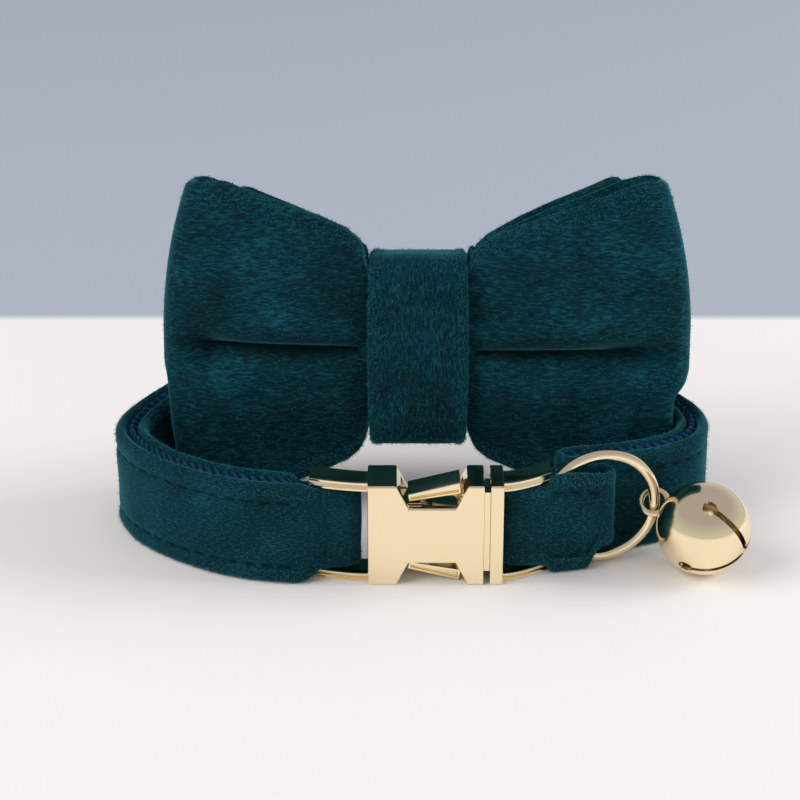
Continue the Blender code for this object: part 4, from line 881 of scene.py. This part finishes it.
def makeBell(goldLook):
    axis = np.array(bell["axis"]) / np.linalg.norm(bell["axis"])
    radius = bell["diameter"] / 2.0
    hold = ringMiddle.copy()
    hold[:2] += tabAlong * (ringSize["diameter"] - ringSize["wire"]) / 2.0
    middle = hold + axis * (radius + bell["eye"] / 2.0 - bell["eyeWire"])
    middle[2] = radius
    yaw = math.atan2(axis[1], axis[0])
    pitch = math.atan2(-axis[2], math.hypot(axis[0], axis[1]))

    def seated(grid):
        return turned(grid, math.radians(bell["rollDeg"]), pitch, yaw) + middle + shift

    shell = seated(ballGrid(radius, bell["around"], bell["up"]))
    ball = newObject("jingleBell", loftMesh("jingleBell", shell, False))
    eyeGrid = torusGrid(bell["eye"], bell["eyeWire"], bell["eyeAround"], bell["eyeSection"])
    eyeGrid = turned(eyeGrid, math.radians(bell["eyeTurnDeg"] - bell["rollDeg"]), 0.0, 0.0)
    eyeGrid = eyeGrid + (-(radius + bell["eye"] / 2.0 - bell["eyeWire"]), 0.0, 0.0)
    reach = bell["diameter"]
    start = bell["slotStart"]
    wide = bell["slot"] / 2.0
    drill = tubeGrid(bell["slotEnd"] / 2.0, -reach, reach, bell["drillAround"])
    inner = ballGrid(radius - bell["wall"], bell["around"], bell["up"])
    tools = [
        ("DIFFERENCE", seated(inner), False),
        ("UNION", seated(eyeGrid), True),
        ("DIFFERENCE", seated(boxGrid((start, -wide, -reach), (reach, wide, reach))), False),
        ("DIFFERENCE", seated(boxGrid((start, -reach, -wide), (reach, reach, wide))), False),
        ("DIFFERENCE", seated(drill + (start, 0.0, 0.0)), False),
        ("DIFFERENCE", seated(turned(drill, math.pi / 2.0, 0.0, 0.0) + (start, 0.0, 0.0)), False),
    ]
    helpers = []
    for number, (operation, grid, closed) in enumerate(tools):
        name = "bellTool%d" % number
        helper = newObject(name, loftMesh(name, grid, closed))
        helpers.append(helper)
        cut = ball.modifiers.new(name, "BOOLEAN")
        cut.operation = operation
        cut.object = helper
        cut.solver = "EXACT"
    rims = ball.modifiers.new("rims", "BEVEL")
    rims.width = bell["rims"]
    rims.segments = 2
    rims.limit_method = "ANGLE"
    rims.angle_limit = math.radians(bell["rimDeg"])
    graph = bpy.context.evaluated_depsgraph_get()
    finished = bpy.data.meshes.new_from_object(ball.evaluated_get(graph))
    for helper in (*helpers, ball):
        bpy.data.objects.remove(helper, do_unlink=True)
    finished.name = "jingleBell"
    finished.materials.clear()
    finished.shade_smooth()
    finished.set_sharp_from_angle(angle=math.radians(bell["sharpDeg"]))
    return placePiece("jingleBell", finished, goldLook, ["bell"])


# ---- trim of the buckle: levers with a sunk panel, and rails along the arms

lever = {
    "endGap": 0.0010, "tip": 0.0012, "shoulder": 0.0018, "riseDeg": 10.0, "inset": 0.0006,
    "columnLeft": 0.0044, "columnRight": 0.0025, "slope": 0.0019, "wall": 0.0012,
    "mouth": 0.0014, "bevel": 0.00012, "rim": 0.00034, "sink": 0.0005,
    "rail": 0.00035, "railHigh": 0.00034, "armStations": 60, "armProud": 0.00030,
    "armDeep": 0.00060,
}


def insetOutline(points, amount):
    # each corner moves along the bisector of its two sides, so every side moves by amount
    before = points - np.roll(points, 1, axis=0)
    after = np.roll(points, -1, axis=0) - points
    before /= np.linalg.norm(before, axis=1, keepdims=True)
    after /= np.linalg.norm(after, axis=1, keepdims=True)
    first = np.stack([-before[:, 1], before[:, 0]], axis=1)
    second = np.stack([-after[:, 1], after[:, 0]], axis=1)
    bisector = first + second
    return points + bisector * (2.0 * amount / (bisector ** 2).sum(axis=1, keepdims=True))


def makeLever(name, node, body, side, goldLook):
    # wedge outline carried from back to front, then in over a rim and down to a panel
    length = (buckle["body"] - lever["columnLeft"] - lever["slope"] - lever["columnRight"]
              - lever["endGap"])
    tip = lever["tip"] / 2.0
    outline = np.array([(-tip, -tip), (length - tip, -tip), (length - tip, lever["shoulder"] - tip),
                        (-tip, tip)])
    near = lever["wall"] + buckle["metalGap"]
    far = buckle["depth"] - near
    bevel, rim, sink = lever["bevel"], lever["rim"], lever["sink"]
    levels = [(far, bevel), (far - bevel, 0.0), (near + bevel, 0.0),
              (near + bevel * 0.3, bevel * 0.3), (near, bevel), (near, rim),
              (near + bevel, rim + bevel * 0.5), (near + sink, rim + bevel)]
    x = buckle["left"] + lever["columnLeft"] + lever["slope"] + tip
    high = buckle["height"] / 2.0
    z = high + side * (high - lever["mouth"] - lever["inset"] - tip)
    rise = math.radians(lever["riseDeg"])
    grid = []
    for depth, amount in levels:
        flat = insetOutline(outline, amount)
        along = flat[:, 0] * math.cos(rise) - flat[:, 1] * math.sin(rise)
        up = flat[:, 0] * math.sin(rise) + flat[:, 1] * math.cos(rise)
        grid.append(np.stack([x + along, depth + 0.0 * along, z + side * up], axis=1))
    mesh = loftMesh(name, np.array(grid) + shift, False)
    mesh.set_sharp_from_angle(angle=math.radians(25.0))
    return placePiece(name, mesh, goldLook, [node], body)


def makeArmTrim(name, start, reach, sweep, side, goldLook):
    # two rails with a panel between them that slopes up and back, led along an arm
    share = np.linspace(0.0, 1.0, lever["armStations"])
    front = armMiddle(share, sweep) - buckle["armDepth"] / 2.0 - lever["armProud"] * share
    thick = buckle["armThick"]
    out = lever["rail"]
    high = lever["railHigh"]
    deep = lever["armDeep"]
    profile = np.array([
        (deep, 0.0), (-0.6 * out, 0.0), (-out, 0.15 * high), (-out, 0.8 * high),
        (-0.8 * out, high), (0.05e-3, high), (-0.7 * out, thick - high),
        (-out, thick - 0.85 * high), (-out, thick - 0.15 * high), (-0.7 * out, thick),
        (deep, thick)])
    x = (start + reach * share)[:, None] + 0.0 * profile[None, :, 0]
    y = front[:, None] + profile[None, :, 0]
    z = profile[None, :, 1] + 0.0 * x
    z = buckle["height"] - z if side > 0 else z
    mesh = loftMesh(name, np.stack([x, y, z], axis=2) + shift, False)
    mesh.set_sharp_from_angle(angle=math.radians(40.0))
    return placePiece(name, mesh, goldLook)


# ---- materials

velvet = {
    "stops": [(0.34, "#051C22"), (0.50, "#092D35"), (0.66, "#124C57")], "sheenHex": "#4AA0AC",
    # pressedShadeHex is the near black of the painted shade in the crease and stitch dents
    "pressedShadeHex": "#010507", "sheen": 0.9, "patchShare": 0.28, "patchesPerCm": 1.1,
    "strapStreak": (0.08, 0.025, 0.08), "wingStreak": (0.0013, 0.0008, 0.00030),
    "knotStreak": (0.00030, 0.0008, 0.0013),
}


def makeVelvet(name, coordinate, streak):
    # Cotton velvet, dyed and brushed: no gloss, short fibre streaks along the nap, and
    # a pale teal bloom where the pile is seen from the side
    made, shader = newMaterial(name, {
        "Roughness": 0.95, "IOR": 1.45, "Specular IOR Level": 0.12,
        "Sheen Weight": velvet["sheen"], "Sheen Roughness": 0.34,
        "Sheen Tint": toLinear(velvet["sheenHex"])})
    place = addNode(made, "ShaderNodeTexCoord")
    scale = tuple(1.0 / size for size in streak)
    mapping = addNode(made, "ShaderNodeMapping", {"Scale": scale},
                      {"Vector": place.outputs[coordinate]})
    fibres = addNode(made, "ShaderNodeTexNoise", {"Scale": 1.0, "Detail": 3.0, "Roughness": 0.6},
                     {"Vector": mapping.outputs["Vector"]})
    # slow patches, about 9 mm, where the nap was stroked another way
    patchScale = velvet["patchesPerCm"] * (1.0 if coordinate == "UV" else 100.0)
    patches = addNode(made, "ShaderNodeTexNoise", {"Scale": patchScale, "Detail": 2.0},
                      {"Vector": place.outputs[coordinate]})
    mixed = addNode(made, "ShaderNodeMix", {"data_type": "FLOAT", "Factor": velvet["patchShare"]},
                    {"A": fibres.outputs["Fac"], "B": patches.outputs["Fac"]})
    ramp = setRamp(addNode(made, "ShaderNodeValToRGB", {}, {"Fac": mixed.outputs["Result"]}),
                   velvet["stops"])
    colour = ramp.outputs["Color"]
    if name != "brushed velvet, knot":
        # painted shade: the crease, its dimples and the stitch dents are darkened towards near
        # black, for their shadow as well as the flattened pile there
        pressedShade = addNode(made, "ShaderNodeAttribute", {"attribute_name": "pressed"})
        darker = addNode(made, "ShaderNodeMix", {"data_type": "RGBA"},
                         {"Factor": pressedShade.outputs["Fac"]})
        linkInputs(made, darker, {6: colour})
        darker.inputs[7].default_value = toLinear(velvet["pressedShadeHex"])
        colour = darker.outputs[2]
    bump = addNode(made, "ShaderNodeBump", {"Strength": 0.3, "Distance": 0.00010},
                   {"Height": fibres.outputs["Fac"]})
    linkInputs(made, shader, {"Base Color": colour, "Normal": bump.outputs["Normal"]})
    return made


def makeTape():
    # Nylon webbing, woven: twisted yarns that show as slanting light and dark loops
    made, shader = newMaterial("woven nylon webbing", {
        "Roughness": 0.7, "IOR": 1.53, "Specular IOR Level": 0.1})
    place = addNode(made, "ShaderNodeTexCoord")
    # yarn pitch 1.1 mm, in centimetres of uv
    mapping = addNode(made, "ShaderNodeMapping", {"Scale": (1.0 / 0.11, 1.0 / 0.11, 1.0)},
                      {"Vector": place.outputs["UV"]})
    yarns = addNode(made, "ShaderNodeTexWave", {
        "wave_type": "BANDS", "bands_direction": "DIAGONAL", "Scale": 0.45,
        "Distortion": 1.2, "Detail": 1.0, "Detail Scale": 2.0},
        {"Vector": mapping.outputs["Vector"]})
    ramp = setRamp(addNode(made, "ShaderNodeValToRGB", {}, {"Fac": yarns.outputs["Fac"]}), [
        (0.1, "#06182A"), (0.5, "#092A42"), (0.9, "#133B59")])
    bump = addNode(made, "ShaderNodeBump", {"Strength": 0.3, "Distance": 0.00016},
                   {"Height": yarns.outputs["Fac"]})
    linkInputs(made, shader, {"Base Color": ramp.outputs["Color"],
                              "Normal": bump.outputs["Normal"]})
    return made


def makeElasticLook():
    # Knitted elastic: fine ribs along the band, matt
    made, shader = newMaterial("knitted elastic", {
        "Roughness": 0.8, "IOR": 1.5, "Specular IOR Level": 0.3,
        "Sheen Weight": 0.2, "Sheen Tint": toLinear("#3F8890")})
    place = addNode(made, "ShaderNodeTexCoord")
    # ribs 0.9 mm apart, in centimetres of uv
    ribs = addNode(made, "ShaderNodeTexWave", {
        "wave_type": "BANDS", "bands_direction": "Y", "Scale": 1.0 / 0.09 / 3.2,
        "Distortion": 0.4}, {"Vector": place.outputs["UV"]})
    ramp = setRamp(addNode(made, "ShaderNodeValToRGB", {}, {"Fac": ribs.outputs["Fac"]}), [
        (0.1, "#071E22"), (0.9, "#1B5459")])
    bump = addNode(made, "ShaderNodeBump", {"Strength": 0.8, "Distance": 0.0002},
                   {"Height": ribs.outputs["Fac"]})
    linkInputs(made, shader, {"Base Color": ramp.outputs["Color"],
                              "Normal": bump.outputs["Normal"]})
    return made


def makeGold():
    # Zinc die casting, polished and plated in pale gold: a mirror with faint handling
    # marks that soften it here and there
    made, shader = newMaterial("polished pale gold plating", {
        "Base Color": toLinear("#FCEAC3"), "Metallic": 1.0, "Roughness": 0.13})
    place = addNode(made, "ShaderNodeTexCoord")
    marks = addNode(made, "ShaderNodeTexNoise", {"Scale": 420.0, "Detail": 4.0},
                    {"Vector": place.outputs["Object"]})
    spread = addNode(made, "ShaderNodeMapRange", {"From Min": 0.3, "From Max": 0.75,
                                                  "To Min": 0.10, "To Max": 0.19},
                     {"Value": marks.outputs["Fac"]})
    bump = addNode(made, "ShaderNodeBump", {"Strength": 0.06, "Distance": 0.00008},
                   {"Height": marks.outputs["Fac"]})
    linkInputs(made, shader, {"Roughness": spread.outputs["Result"],
                              "Normal": bump.outputs["Normal"]})
    return made


# the strap's uv is in centimetres and object coordinates are in metres
strapVelvet = makeVelvet("brushed velvet, strap", "UV", velvet["strapStreak"])
wingVelvet = makeVelvet("brushed velvet, wings", "Object", velvet["wingStreak"])
knotVelvet = makeVelvet("brushed velvet, knot", "Object", velvet["knotStreak"])
# painted sheen: the pile tips are a lighter teal than the velvet beneath, standing in for the
# bright sheen along the edges
pileSheenLook = newMaterial("velvet pile tips", {
    "Base Color": toLinear("#1A616A"), "Roughness": 0.9, "Specular IOR Level": 0.2,
    "Sheen Weight": 0.9, "Sheen Tint": toLinear("#5CB4BE")})[0]
tapeLook = makeTape()
elasticLook = makeElasticLook()
goldLook = makeGold()
print("stage 2: materials are made")

makeStrap(strapVelvet, tapeLook)
makeTab(strapVelvet)
makeBowLoop(wingVelvet)
makeBowPly(wingVelvet)
makeKnot(knotVelvet)
makeElastic(elasticLook)
print("stage 3: cloth pieces are made")

makeRing(goldLook)
makeBell(goldLook)
makeLever("leverTop", "release_lever_top", "top_lever", 1, goldLook)
makeLever("leverBottom", "release_lever_bottom", "bottom_lever", -1, goldLook)
for side, place in ((1, "Top"), (-1, "Bottom")):
    makeArmTrim("armTrimLeft" + place, buckle["left"], -buckle["armLeft"], buckle["sweepLeft"],
                side, goldLook)
    makeArmTrim("armTrimRight" + place, tailRight, buckle["armRight"], buckle["sweepRight"],
                side, goldLook)
for name in ("buckle_body", "buckle_tail"):
    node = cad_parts[name]
    for materialSlot in node.material_slots:
        materialSlot.material = goldLook
print("stage 4: metal pieces are made")

# ---- floor, light and camera

stage = {
    "floorHex": "#F0EDE8", "wallHex": "#ACB4BC", "wallFrom": 0.1114, "joint": 0.003,
    "lowHex": "#D9DBDC", "highHex": "#BAB7C2", "worldStrength": 0.84,
    "lightsAimAt": (0.0, 0.0, 0.02), "cameraAt": (-0.002, -0.311, 0.170),
    "cameraTiltDeg": 66.0, "lens": 102.15,
}


def makeFloor():
    # pale paper in front and blue-grey paper behind a straight joint
    half = 3.0
    points = [(-half, -half, 0.0), (half, -half, 0.0), (half, half, 0.0), (-half, half, 0.0)]
    mesh = bpy.data.meshes.new("studioFloor")
    mesh.from_pydata(points, [], [(0, 1, 2, 3)])
    floor = newObject("studioFloor", mesh)
    line = stage["wallFrom"] + float(shift[1])
    made, shader = newMaterial("matt paper", {"Roughness": 0.9, "Specular IOR Level": 0.1})
    place = addNode(made, "ShaderNodeTexCoord")
    split = addNode(made, "ShaderNodeSeparateXYZ", {}, {"Vector": place.outputs["Object"]})
    joint = stage["joint"] / 2.0
    part = addNode(made, "ShaderNodeMapRange", {"From Min": line - joint, "From Max": line + joint},
                   {"Value": split.outputs["Y"]})
    ramp = setRamp(addNode(made, "ShaderNodeValToRGB", {}, {"Fac": part.outputs["Result"]}), [
        (0.0, stage["floorHex"]), (1.0, stage["wallHex"])])
    linkInputs(made, shader, {"Base Color": ramp.outputs["Color"]})
    mesh.materials.append(made)


def addLight(name, place, size, power, colour):
    # a rectangle that faces the part; metal doesn't show it as a white shape
    light = bpy.data.lights.new(name, "AREA")
    light.shape = "RECTANGLE"
    light.size, light.size_y = size
    light.energy = power
    light.color = toLinear(colour)[:3]
    lamp = newObject(name, light)
    back = np.array(place) - stage["lightsAimAt"]
    back /= np.linalg.norm(back)
    pitch = math.acos(back[2])
    turn = math.atan2(back[0], -back[1])
    lamp.location = place
    lamp.rotation_euler = (pitch, 0.0, turn)
    lamp.visible_glossy = False


makeFloor()
addLight("windowLeft", (-0.85, -0.35, 0.72), (0.9, 0.9), 9.0, "#FFFEFA")
addLight("softFront", (0.25, -1.1, 0.75), (1.1, 0.7), 0.9, "#FFFBF4")
addLight("softRight", (1.0, 0.1, 0.38), (0.6, 0.6), 10.0, "#FCFDFF")
world = bpy.data.worlds.new("soft room")
bpy.context.scene.world = world
world.use_nodes = True
room = world.node_tree.nodes["Background"]
room.inputs["Strength"].default_value = stage["worldStrength"]
direction = addNode(world, "ShaderNodeTexCoord")
level = addNode(world, "ShaderNodeSeparateXYZ", {}, {"Vector": direction.outputs["Generated"]})
sky = setRamp(addNode(world, "ShaderNodeValToRGB", {}, {"Fac": level.outputs["Z"]}), [
    (0.1, stage["lowHex"]), (0.6, stage["highHex"])])
linkInputs(world, room, {"Color": sky.outputs["Color"]})
bpy.context.scene.view_settings.view_transform = "Standard"

camera = bpy.data.cameras.new("camera")
camera.sensor_width = 36.0
camera.lens = stage["lens"]
viewer = newObject("camera", camera)
viewer.location = np.array(stage["cameraAt"]) + shift
viewer.rotation_euler = (math.radians(stage["cameraTiltDeg"]), 0.0, 0.0)
bpy.context.scene.camera = viewer
print("stage 5: floor, light and camera are set")
